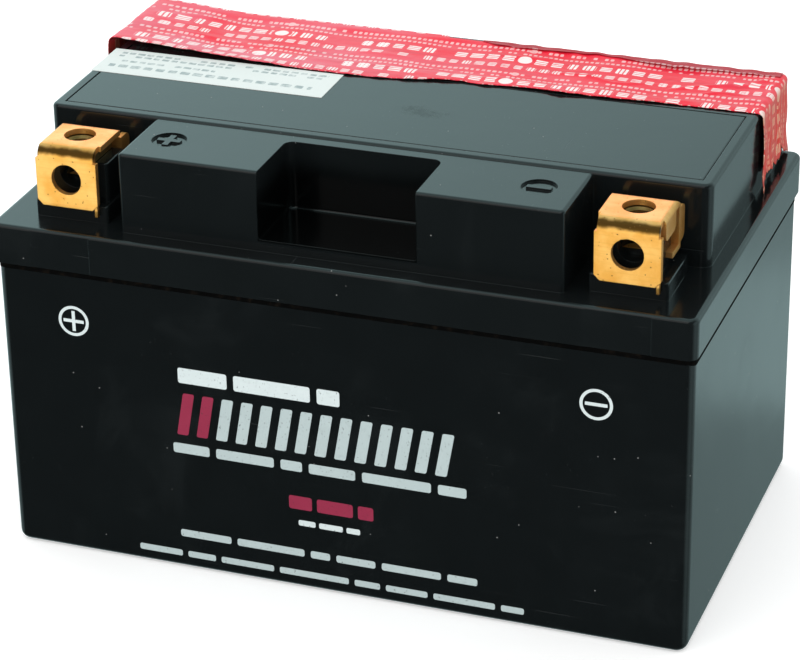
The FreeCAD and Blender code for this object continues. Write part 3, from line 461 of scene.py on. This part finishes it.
def ink(name, c, rough=0.42):
    """Screen-printed ink with pinholes and slight unevenness."""
    m, g = material(name)
    co = g.obj()
    n1 = g.noise(co, 260.0, 4.0, 0.6)
    holes = g.step(g.noise(co, 2300.0, 2.0), 0.66, 0.74)
    thin = g.step(g.noise(co, 800.0, 3.0, 0.6), 0.60, 0.78)
    col = g.mix(n1, tuple(v * 0.90 for v in c), c)
    col = g.mix(g.math("MULTIPLY", thin, 0.25), col, tuple(v * 0.55 for v in c))
    col = g.mix(g.math("MULTIPLY", holes, 0.7), col, (0.02, 0.022, 0.024))
    finish(g, Base_Color=col, Roughness=g.math("ADD", rough, g.math("MULTIPLY", n1, 0.15)), Normal=g.bump(n1, 4.0e-6))
    return m


MATS = {
    "case_plastic": black_plastic("black_case", seed=0.0, seam=0.06525),
    "lid_plastic": black_plastic("black_lid", notch=True, base=(0.0050, 0.0066, 0.0070), rough=0.11, seed=0.31),
    "cover_plastic": black_plastic("black_cover", base=(0.0050, 0.0066, 0.0070), rough=0.11, seed=0.77, smear=(-0.00463, 0.00004, 0.0)),
    "label_film": paper_label("white_label"),
    "yellow_passivated_lug": yellow_plate("yellow_passivated"),
    "nut_steel": metal("nut_steel", (0.30, 0.185, 0.065), (0.46, 0.30, 0.11), 0.40, thread=0.0008),
    "post_lead": metal("post_lead", (0.30, 0.31, 0.33), (0.46, 0.47, 0.49), 0.42),
    "strap_lead": metal("strap_lead", (0.26, 0.27, 0.29), (0.40, 0.41, 0.44), 0.48),
    "post_seal_rubber": rubber("seal_rubber", (0.012, 0.012, 0.013)),
    "valve_rubber": rubber("valve_rubber", (0.020, 0.019, 0.018)),
    "porous_ceramic": porous("porous_frit"),
    "positive_plate": plate("positive_paste", (0.115, 0.045, 0.020), (0.17, 0.075, 0.035), (0.30, 0.28, 0.26)),
    "negative_plate": plate("negative_paste", (0.20, 0.21, 0.22), (0.30, 0.31, 0.33), (0.42, 0.43, 0.45)),
    "glass_mat": glass_mat("glass_mat"),
}
FILM = seal_film("seal_film")
FILM_DARK = seal_film("seal_film_fold", dark=1.0)
PRINT_LIGHT = ink("print_light", (0.47, 0.56, 0.56))
PRINT_WHITE = ink("print_white", (0.66, 0.74, 0.74))
PRINT_RED = ink("print_crimson", (0.33, 0.010, 0.055), 0.40)

for name, ob in nodes.items():
    for i, old in enumerate(list(ob.data.materials)):
        key = old.name.split(".")[0] if old else "case_plastic"
        ob.data.materials[i] = MATS.get(key, FILM if key == "seal_foil" else MATS["case_plastic"])


# ------------------------------------------------------------------ mesh helpers
def smooth(a, b, x):
    t = np.clip((np.asarray(x, float) - a) / (b - a), 0.0, 1.0)
    return t * t * (3 - 2 * t)


def add_piece(name, verts, faces, mat, body="battery", shade=True):
    me = bpy.data.meshes.new(name)
    me.from_pydata([tuple(p) for p in verts], [], faces)
    me.validate()
    me.materials.append(mat)
    if shade:
        for p in me.polygons:
            p.use_smooth = True
    ob = bpy.data.objects.new(name, me)
    scene.collection.objects.link(ob)
    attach(ob, body)
    return ob


def sheet_solid(P, attr, thick):
    """A closed thin solid from a grid of points P (m, n, 3): top layer, bottom layer and a rim."""
    m, n, _ = P.shape
    du = np.gradient(P, axis=0)
    dv = np.gradient(P, axis=1)
    nr = np.cross(du, dv)
    nr /= np.maximum(np.linalg.norm(nr, axis=2, keepdims=True), 1e-12)
    top = (P + nr * thick / 2).reshape(-1, 3)
    bot = (P - nr * thick / 2).reshape(-1, 3)
    V = np.vstack([top, bot])
    A = np.vstack([attr.reshape(-1, 3)] * 2)
    N = m * n
    idx = np.arange(N).reshape(m, n)
    a, b, c, d = idx[:-1, :-1].ravel(), idx[1:, :-1].ravel(), idx[1:, 1:].ravel(), idx[:-1, 1:].ravel()
    F = [tuple(q) for q in np.stack([a, b, c, d], 1).tolist()]
    F += [tuple(q) for q in np.stack([d + N, c + N, b + N, a + N], 1).tolist()]
    ring = list(idx[:, 0]) + list(idx[-1, 1:]) + list(idx[-2::-1, -1]) + list(idx[0, -2:0:-1])
    k = len(ring)
    for i in range(k):
        p, q = int(ring[i]), int(ring[(i + 1) % k])
        F.append((q, p, p + N, q + N))
    return V, F, A


def put_attr(ob, A):
    at = ob.data.attributes.new("film", "FLOAT_VECTOR", "POINT")
    at.data.foreach_set("vector", np.asarray(A, dtype=np.float32).ravel())


def noise1(x, scale, seed, octaves=3):
    out = np.zeros(len(x))
    for i, xv in enumerate(x):
        p = Vector((float(xv) * scale, seed, seed * 0.37))
        a, f, s = 1.0, 1.0, 0.0
        for _ in range(octaves):
            s += a * mn.noise(p * f)
            a *= 0.5
            f *= 2.1
        out[i] = s
    return out


# ------------------------------------------------------------------ the seal film
def front_edge(x):
    """y of the film's front edge, and its lift off the lid, in mm."""
    lift = np.interp(x, [-76, -72, -60, -50, -40, -30, -15, 0, 12, 20, 30, 50, 60, 71], [1.7, 1.65, 1.38, 1.00, 0.62, 0.26, 0.04, 0.16, 0.05, 0.20, 0.30, 0.03, 0.02, 0.02])
    seen = np.interp(x, [-76, -74.8, -60, -50, -40, -30, -20, -12, -4, 2, 7, 12, 18, 24, 29, 36, 45, 55, 62, 71], [19.3, 19.1, 17.0, 15.9, 14.9, 14.4, 14.1, 14.3, 15.3, 16.9, 17.6, 17.0, 18.1, 18.2, 17.6, 17.9, 18.3, 18.5, 18.6, 18.8])
    return seen - 1.88 * lift * 0.82, lift


CREASES = [  # sharp wrinkles in the film: ends, height and width in mm
    (24.0, 29.5, 36.0, 27.2, 0.40, 0.55), (34.0, 27.0, 44.0, 27.8, 0.22, 0.5),
    (50.0, 27.4, 70.5, 34.6, 0.42, 0.60), (55.0, 26.0, 66.0, 27.8, 0.30, 0.45),
    (60.0, 31.5, 71.0, 38.0, 0.35, 0.8), (-12.0, 22.5, 6.0, 23.6, 0.22, 0.6),
    (8.0, 34.0, 22.0, 36.4, 0.28, 0.8), (-64.0, 27.0, -44.0, 24.4, 0.25, 0.9),
    (-70.0, 33.5, -52.0, 37.0, 0.25, 0.9), (-30.0, 30.5, -8.0, 28.2, 0.20, 0.8),
    (12.0, 21.0, 30.0, 22.6, 0.24, 0.5),
]


def fold_height(x, y):
    """Height that the sharp wrinkles add at a point of the film, in mm."""
    out = 0.0
    for x0, y0, x1, y1, hgt, wid in CREASES:
        ex, ey = x1 - x0, y1 - y0
        ln = ex * ex + ey * ey
        t = min(1.0, max(0.0, ((x - x0) * ex + (y - y0) * ey) / ln))
        bow = 0.7 * math.sin(t * math.pi * 1.5 + x0)
        px, py = x0 + ex * t, y0 + ey * t + bow
        d2 = (x - px) ** 2 + (y - py) ** 2
        if d2 < 12 * wid * wid:
            out += hgt * math.sin(math.pi * min(max(t, 0.04), 0.96)) ** 0.5 * math.exp(-d2 / (wid * wid))
    return out


def make_film():
    Rc, re = 2.0, 1.05
    A, B = 71.45 - Rc, 43.05 - Rc
    L = 19.4
    step = 0.42
    na = int(round(2 * A / step))
    nl = int(round(L / step))
    nb = int(round((B - 17.0) / step))
    a1 = np.linspace(-A, A, na + 1)
    ext = np.linspace(0, 1, nl + 1)[1:]
    ca = np.concatenate([-(ext[::-1]) - 1.0, np.zeros(na + 1), ext + 1.0])  # >1: into a flap
    base_a = np.concatenate([np.full(nl, -A), a1, np.full(nl, A)])
    tb = np.linspace(0, 1, nb + 1)
    cb = np.concatenate([np.zeros(nb + 1), ext + 1.0])
    m, n = len(base_a), len(cb)
    fe, lift = front_edge(base_a)
    rag = 0.22 * noise1(np.linspace(0, 170, m), 0.55, 3.1, 4) + 0.10 * noise1(np.linspace(0, 170, m), 1.9, 8.3, 2)
    fe = fe + rag
    # the film's front margin runs on down both ends
    pa = np.where(ca > 0, ca - 1.0, np.where(ca < 0, ca + 1.0, 0.0))  # -1..1 along an end flap
    fe = fe + np.where(pa > 0, 0.35 * np.sin(pa * 5.0) + 0.2 * pa, 0.0) + np.where(pa < 0, 0.5 * np.abs(pa), 0.0)
    P = np.zeros((m, n, 3))
    AT = np.zeros((m, n, 3))
    # how far the film hangs: right end, back, left end (mm along the film from the A / B lines)
    yb = np.linspace(16.0, 43.0, 200)
    zr = np.interp(yb, [16.0, 18.6, 19.6, 20.4, 21.4, 22.6, 24.5, 26.0, 28.0, 30.0, 31.5, 33.0, 34.2, 35.2, 36.0, 38.0, 40.0, 41.5, 43.0],
                   [75.6, 75.4, 75.3, 75.9, 77.8, 78.5, 77.6, 78.2, 77.0, 77.9, 76.6, 77.4, 76.4, 79.6, 79.8, 77.2, 76.4, 75.9, 75.6])
    zl = np.interp(yb, [16.0, 19.0, 21.0, 24.0, 27.0, 30.0, 33.0, 36.0, 39.0, 43.0], [79.0, 78.0, 76.4, 77.5, 76.0, 78.2, 77.0, 76.2, 77.4, 76.0])
    zr = zr + 0.25 * noise1(yb, 1.7, 5.5)
    zl = zl + 0.35 * noise1(yb, 1.3, 9.5)
    down = lambda z: (93.0 - re - z) + (Rc - re) + math.pi * re / 2

    def back_hang(x):
        full = down(77.2 + 0.8 * math.sin(x * 0.21) + 0.5 * math.sin(x * 0.83 + 1.0) + 0.25 * math.sin(x * 2.9))
        short = 0.22 + 0.12 * math.sin(x * 1.3) + 0.06 * math.sin(x * 3.7)
        cut = 0.06
        w = float(smooth(-7.0, -3.5, x))
        v = full * (1 - w) + cut * w
        w2 = float(smooth(3.0, 5.0, x))
        v = v * (1 - w2) + short * w2
        w3 = float(smooth(67.4, 68.6, x))
        return v * (1 - w3) + down(76.0) * w3

    tan_n = {}
    for i in range(m):
        p = pa[i]
        for j in range(n):
            q = cb[j] - 1.0 if cb[j] > 0 else 0.0
            if p == 0.0 and q == 0.0:
                y = fe[i] + (B - fe[i]) * tb[j]
                x, dx, dy, d = base_a[i], 0.0, 0.0, 0.0
                u, v = x, y
            elif q == 0.0:
                y = fe[i] + (B - fe[i]) * tb[j]
                x, dx, dy = base_a[i], math.copysign(1.0, p), 0.0
                D = down(float(np.interp(y, yb, zr if p > 0 else zl)))
                d = abs(p) * D
                u, v = x + dx * d, y
            elif p == 0.0:
                x, y, dx, dy = base_a[i], B, 0.0, 1.0
                d = q * back_hang(x)
                u, v = x, y + d
            else:
                s = math.copysign(1.0, p)
                mx = max(abs(p), q)
                ang = (q / abs(p)) * math.pi / 4 if abs(p) >= q else math.pi / 2 - (abs(p) / q) * math.pi / 4
                D = down(float(zr[-1] if p > 0 else zl[-1])) * (1 - ang / (math.pi / 2)) + back_hang(s * A) * ang / (math.pi / 2)
                x, y, dx, dy = s * A, B, s * math.cos(ang), math.sin(ang)
                d = mx * D
                u, v = x + dx * d, y + dy * d
            fl = Rc - re
            if d <= fl:
                h, drop, phi = d, 0.0, 0.0
            elif d <= fl + math.pi * re / 2:
                phi = (d - fl) / re
                h, drop = fl + re * math.sin(phi), re * (1 - math.cos(phi))
            else:
                phi = math.pi / 2
                h, drop = Rc, re + (d - fl - math.pi * re / 2)
            X, Y, Z = x + dx * h, y + dy * h, 92.90 - drop
            # creases and lift, along the film's own normal
            nx, ny, nz = dx * math.sin(phi), dy * math.sin(phi), math.cos(phi)
            e = max(0.0, y - fe[i]) if q == 0.0 else 30.0
            w_top = math.cos(phi)
            p3 = Vector((u * 0.055, v * 0.14, 2.0))
            ridg = 1.0 - abs(mn.noise(p3) * 2.0)
            amp = 0.16 * max(0.0, ridg) ** 3 + 0.10 * (mn.noise(Vector((u * 0.17, v * 0.33, 5.0))) + 0.5)
            amp += 0.05 * mn.noise(Vector((u * 0.6, v * 0.7, 8.0)))
            amp = amp * (1.0 - 0.85 * float(smooth(35.0, 40.5, y + dy * h))) + 0.02
            # sagging a little over the trough
            trough = float(smooth(20.3, 23.0, y)) * (1 - float(smooth(38.0, 40.6, y + (dy * h)))) * (1 - float(smooth(63.0, 68.5, abs(x))))
            cellx = math.cos((x / 24.235) * 2 * math.pi)
            sag = -trough * (0.34 + 0.16 * cellx)
            off = amp * (w_top * (1.0 - 0.4 * trough)) + sag * w_top
            lf = lift[i] * (1.0 - float(smooth(0.0, 6.5, e))) * w_top
            flut = 0.10 * mn.noise(Vector((u * 0.35, 1.0, 3.0))) * (1.0 - float(smooth(0.0, 3.0, e))) * w_top
            Z += lf * (1.0 if p == 0 else 1.0) + max(flut, -0.05)
            if phi > 0:
                dn = drop / 17.5
                al = math.atan2(dy, abs(dx)) if q > 0.0 else 0.0
                run = (y if q == 0.0 else B + al * 2.6 + (A - abs(x))) * (1.0 if x > 0 else -1.0)
                cr = abs(mn.noise(Vector((run * 0.42 + 3.0, dn * 1.7, 4.0))))
                cr2 = abs(mn.noise(Vector((run * 1.05, dn * 2.2, 11.0))))
                side = math.sin(phi)
                push = side * (0.10 + (0.75 * cr + 0.40 * cr2) * min(1.0, dn * 1.5 + 0.12))
                # front margin stands off the wall; the hem flares
                push += side * 0.65 * (1.0 - float(smooth(0.0, 3.2, e))) * (0.35 + 0.65 * math.sin(min(1.0, dn) * math.pi))
                push += side * 0.55 * float(smooth(0.72, 1.05, dn))
                if dy > 0.5 and dx == 0.0:
                    push *= 0.6
                X += dx * push
                Y += dy * push
            # the left end is loose: it stands up off the lid and bulges outward
            loose = 1.0 - float(smooth(-71.0, -50.0, x))
            Z += 1.25 * loose * w_top * float(smooth(0.0, 6.5, e)) + 0.9 * loose * (1 - w_top) * max(0.0, 1.0 - drop / 14.0)
            X -= 2.3 * (1.0 - float(smooth(-71.0, -60.0, x))) * max(0.0, 1.0 - (drop / 17.0) ** 2) * (1.0 if dy < 0.9 else 0.6)
            X += nx * off * 0.5
            Y += ny * off * 0.5
            Z += nz * max(off, -0.9) + 0.02 + fold_height(X, Y)
            P[i, j] = (X, Y, Z)
            AT[i, j] = (u, v, min(e, 30.0, 30.0))
    # keep clear of the ledge that the ends hang to
    P[:, :, 2] = np.maximum(P[:, :, 2], 75.25)
    V, F, AA = sheet_solid(P * MM, AT, 0.10 * MM)
    ob = add_piece("seal_film", V, F, FILM)
    put_attr(ob, AA)
    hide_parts("foil_seal")
    return ob


def make_fold():
    """The strip of film folded forward over itself along the back edge."""
    xs = np.linspace(4.2, 70.6, 220)
    wob = noise1(xs, 0.16, 21.0, 3)
    reach = np.interp(xs, [4.2, 6.5, 12, 20, 30, 38, 46, 55, 62, 70.6], [0.4, 1.3, 2.1, 1.7, 0.8, 1.6, 2.8, 2.5, 2.3, 2.1]) + 0.35 * wob
    ys = 41.28 + 0.12 * np.sin(xs * 1.3)
    m = len(xs)
    k = 26
    P = np.zeros((m, k, 3))
    AT = np.zeros((m, k, 3))
    for i in range(m):
        x = xs[i]
        r = 0.10 + 0.03 * math.sin(x * 0.9)
        for j in range(k):
            if j < 9:
                a = -math.pi / 2 + math.pi * j / 8.0
                y = ys[i] + r * math.cos(a) * 1.3
                z = 93.02 + r + r * math.sin(a)
                s = j * 0.06
            else:
                t = (j - 8) / (k - 9.0)
                y = ys[i] - t * max(0.3, reach[i])
                z = 93.02 + 2 * r - 0.08 * math.sin(t * math.pi * 0.5) + 0.16 * max(0.0, t - 0.6) * (1 + wob[i])
                z += 0.07 * mn.noise(Vector((x * 0.4, y * 0.9, 4.0)))
                s = 0.5 + t * max(0.3, reach[i])
            P[i, j] = (x, y, z)
            AT[i, j] = (x * 1.0, 41.6 - s, 30.0)
    V, F, AA = sheet_solid(P[:, ::-1] * MM, AT[:, ::-1], 0.08 * MM)
    ob = add_piece("seal_film_fold", V, F, FILM_DARK)
    put_attr(ob, AA)


make_film()
make_fold()


# ------------------------------------------------------------------ painted shadow in the gap under the lid's skirt
def make_seam():
    """A near-black matte strip all the way round, standing in for the shadow in the joint between the case and the
    skirt.
    """
    hx, hy, rr = 74.35, 42.85, 2.5
    prof = [(-0.25, 65.22), (0.05, 65.22), (0.10, 65.35), (0.10, 66.30), (0.05, 66.38), (-0.25, 66.38)]
    V, F, k, n = [], [], len(prof), 36
    for cx, cy, a0 in ((hx - rr, hy - rr, 0), (-hx + rr, hy - rr, 90), (-hx + rr, -hy + rr, 180), (hx - rr, -hy + rr, 270)):
        for q in range(9):
            a = math.radians(a0 + 90.0 * q / 8)
            side = abs(math.cos(a)) ** 3
            for o, z in prof:
                z -= side * (0.68 if z < 65.5 else 0.0)
                V.append(((cx + (rr + o) * math.cos(a)) * MM, (cy + (rr + o) * math.sin(a)) * MM, z * MM))
    for i in range(n):
        for j in range(k):
            a, b = i * k + j, i * k + (j + 1) % k
            F.append((a, ((i + 1) % n) * k + j, ((i + 1) % n) * k + (j + 1) % k, b))
    m, g = material("seam_shadow")
    n1 = g.noise(g.obj(), 900.0, 4.0, 0.6)
    col = g.mix(g.step(n1, 0.50, 0.78), (0.0018, 0.0018, 0.0017), (0.012, 0.008, 0.005))
    finish(g, Base_Color=col, Roughness=g.math("ADD", 0.7, g.math("MULTIPLY", n1, 0.3)), Normal=g.bump(n1, 4.0e-5), Specular_IOR_Level=0.05)
    add_piece("case_seam_shadow_strip", V, F, m, shade=False)


make_seam()

# ------------------------------------------------------------------ printing on the front
FACE_Y = -42.85


def prism(V, F, pts, y0, y1):
    """A closed slab: the polygon pts (x, z), counter-clockwise seen from the front, from y0 out to y1."""
    k, n = len(V), len(pts)
    V += [(x * MM, y0 * MM, z * MM) for x, z in pts]
    V += [(x * MM, y1 * MM, z * MM) for x, z in pts]
    F.append(tuple(range(k + n, k + 2 * n)))
    F.append(tuple(range(k + n - 1, k - 1, -1)))
    for i in range(n):
        j = (i + 1) % n
        F.append((k + j, k + n + j, k + n + i, k + i))


def rbar(x0, x1, z0, z1, r, slant=0.0, seg=5):
    pts = []
    for cx, cz, a0 in ((x1 - r, z0 + r, -90), (x1 - r, z1 - r, 0), (x0 + r, z1 - r, 90), (x0 + r, z0 + r, 180)):
        for s in range(seg + 1):
            a = math.radians(a0 + 90.0 * s / seg)
            x, z = cx + r * math.cos(a), cz + r * math.sin(a)
            pts.append((x + slant * (z - z0), z))
    return pts


def decal(name, shapes, mat):
    V, F = [], []
    for pts in shapes:
        prism(V, F, pts, FACE_Y + 0.03, FACE_Y - 0.035)
    return add_piece(name, V, F, mat, shade=False)


def words(x0, x1, z, h, lens, gap):
    k = (x1 - x0 - gap * (len(lens) - 1)) / sum(lens)
    out, x = [], x0
    for w in lens:
        out.append(rbar(x, x + w * k, z - h / 2, z + h / 2, min(h * 0.28, 0.5)))
        x += w * k + gap
    return out


def annulus(V, F, cx, cz, ro, ri, y0, y1, seg=72):
    k = len(V)
    for y in (y0, y1):
        for r in (ri, ro):
            for s in range(seg):
                a = 2 * math.pi * s / seg
                V.append(((cx + r * math.cos(a)) * MM, y * MM, (cz + r * math.sin(a)) * MM))
    for s in range(seg):
        t = (s + 1) % seg
        i0, o0, i1, o1 = k, k + seg, k + 2 * seg, k + 3 * seg
        F.append((i1 + s, i1 + t, o1 + t, o1 + s)[::-1])
        F.append((i0 + s, o0 + s, o0 + t, i0 + t)[::-1])
        F.append((o0 + s, o1 + s, o1 + t, o0 + t)[::-1])
        F.append((i0 + s, i0 + t, i1 + t, i1 + s)[::-1])


def polarity(name, cx, cz, plus):
    V, F = [], []
    y0, y1 = FACE_Y + 0.03, FACE_Y - 0.035
    annulus(V, F, cx, cz, 3.42, 2.78, y0, y1)
    b, l = 0.36, 2.30
    if plus:
        pts = [(-b, -l), (b, -l), (b, -b), (l, -b), (l, b), (b, b), (b, l), (-b, l), (-b, b), (-l, b), (-l, -b), (-b, -b)]
    else:
        pts = [(-l, -b), (l, -b), (l, b), (-l, b)]
    prism(V, F, [(cx + x, cz + z) for x, z in pts], y0, y1)
    return add_piece(name, V, F, PRINT_WHITE, shade=False)


polarity("front_mark_positive", -57.4, 55.1, True)
polarity("front_mark_negative", 55.1, 53.9, False)

decal("front_print_header", words(-34.4, 1.2, 46.2, 3.5, [11, 17, 5], 1.5), PRINT_WHITE)
stripes = [rbar(-35.2 + 4.36 * i, -35.2 + 4.36 * i + 2.5, 32.3, 42.1, 0.40, 0.18) for i in range(14)]
decal("front_print_stripes", stripes[2:], PRINT_LIGHT)
decal("front_print_accent", stripes[:2] + words(-10.6, 8.0, 20.6, 3.1, [9, 14, 6], 1.1), PRINT_RED)
decal("front_print_line_1", words(-36.2, 28.2, 29.1, 2.3, [12, 19, 7, 15, 22, 9], 1.5), PRINT_LIGHT)
decal("front_print_line_2", words(-8.6, 5.0, 15.9, 1.3, [5, 7, 4], 0.8), PRINT_WHITE)
decal("front_print_line_3", words(-35.5, 30.4, 8.7, 1.7, [16, 21, 6, 12, 18, 9], 1.4), PRINT_LIGHT)
decal("front_print_line_4", words(-45.2, 40.4, 3.7, 1.45, [14, 9, 17, 22, 8, 13, 19, 7], 1.3), PRINT_LIGHT)


# ------------------------------------------------------------------ floor, world and lights
def make_stage():
    me = bpy.data.meshes.new("floor")
    s = 12.0
    me.from_pydata([(-s, -s, 0), (s, -s, 0), (s, s, 0), (-s, s, 0)], [], [(0, 1, 2, 3)])
    ob = bpy.data.objects.new("floor", me)
    scene.collection.objects.link(ob)
    m, g = material("pale_floor")
    co = g.obj()
    n1 = g.noise(co, 3.0, 3.0)
    col = g.mix(n1, (0.93, 0.93, 0.93), (0.95, 0.95, 0.95))
    bs = finish(g, Base_Color=col, Roughness=0.9)
    bs.inputs["Emission Color"].default_value = (1.0, 1.0, 1.0, 1.0)
    bs.inputs["Emission Strength"].default_value = 0.36
    me.materials.append(m)
    ob.visible_glossy = False


make_stage()


def make_world():
    w = bpy.data.worlds.new("studio")
    scene.world = w
    w.use_nodes = True
    g = G(w.node_tree)
    d = g.n("ShaderNodeTexCoord").outputs["Generated"]
    sep = g.n("ShaderNodeSeparateXYZ", {0: d})
    x, y, z = sep.outputs
    # reflected surroundings: a broad pale backdrop behind, a dim side in front
    back = g.step(y, -0.25, 0.62)
    zl = g.math("ADD", g.lin(z, -0.52, -0.47, 0.345, 0.385), g.math("MULTIPLY", g.step(z, -0.4665, -0.4615), 0.35))
    zl = g.math("SUBTRACT", zl, g.math("MULTIPLY", g.step(z, -0.431, -0.416), 0.25))
    zl = g.math("ADD", zl, g.math("MULTIPLY", g.step(z, -0.30, 0.10), 0.515))
    up = g.lin(x, -0.45, -0.15, 1.10, 0.66)
    top = g.step(z, 0.70, 0.97)
    rad = g.math("MULTIPLY", g.math("MULTIPLY", back, 1.30), g.math("MULTIPLY", zl, up))
    rad = g.math("MAXIMUM", rad, g.math("MULTIPLY", top, 0.9))
    sidel = g.math("MULTIPLY", g.step(g.math("ABSOLUTE", x), 0.72, 0.97), 0.75)
    rad = g.math("MAXIMUM", rad, sidel)
    rad = g.math("ADD", rad, 0.025)
    glossy = g.n("ShaderNodeBackground", {"Color": (0.70, 1.0, 1.01, 1.0), "Strength": rad})
    ambient = g.n("ShaderNodeBackground", {"Color": (0.985, 0.998, 1.0, 1.0), "Strength": 0.98})
    white = g.n("ShaderNodeBackground", {"Color": (1.0, 1.0, 1.0, 1.0), "Strength": 1.0})
    lp = g.n("ShaderNodeLightPath")
    m1 = g.n("ShaderNodeMixShader", {0: lp.outputs["Is Glossy Ray"], 1: ambient.outputs[0], 2: glossy.outputs[0]})
    m2 = g.n("ShaderNodeMixShader", {0: lp.outputs["Is Camera Ray"], 1: m1.outputs[0], 2: white.outputs[0]})
    out = g.n("ShaderNodeOutputWorld")
    g.t.links.new(m2.outputs[0], out.inputs[0])


make_world()


def area(name, loc, aim, size, power, color=(1, 1, 1), only=None):
    li = bpy.data.lights.new(name, "AREA")
    li.shape = "RECTANGLE"
    li.size, li.size_y = size
    li.energy = power
    li.color = color
    ob = bpy.data.objects.new(name, li)
    scene.collection.objects.link(ob)
    d = Vector(aim) - Vector(loc)
    ob.matrix_world = Matrix.Translation(Vector(loc)) @ d.to_track_quat("-Z", "Y").to_matrix().to_4x4()
    if only:
        col = bpy.data.collections.new(name + "_subjects")
        for n in only:
            col.objects.link(nodes[n])
        ob.light_linking.receiver_collection = col
    return ob


GOLD = ["positive_terminal_bracket", "negative_terminal_bracket"]
area("key_softbox", (-0.35, -0.85, 0.95), (0, 0, 0.06), (1.5, 1.1), 3.0, (1.0, 0.985, 0.96))
area("lug_card", (-0.30, -0.85, -0.05), (0, -0.03, 0.085), (0.9, 0.9), 5.2, (0.84, 0.92, 0.66), GOLD)
area("lug_top_card", (-0.32, 0.80, 0.50), (0, -0.03, 0.085), (0.8, 0.6), 1.8, (1.0, 0.34, 0.42), GOLD)
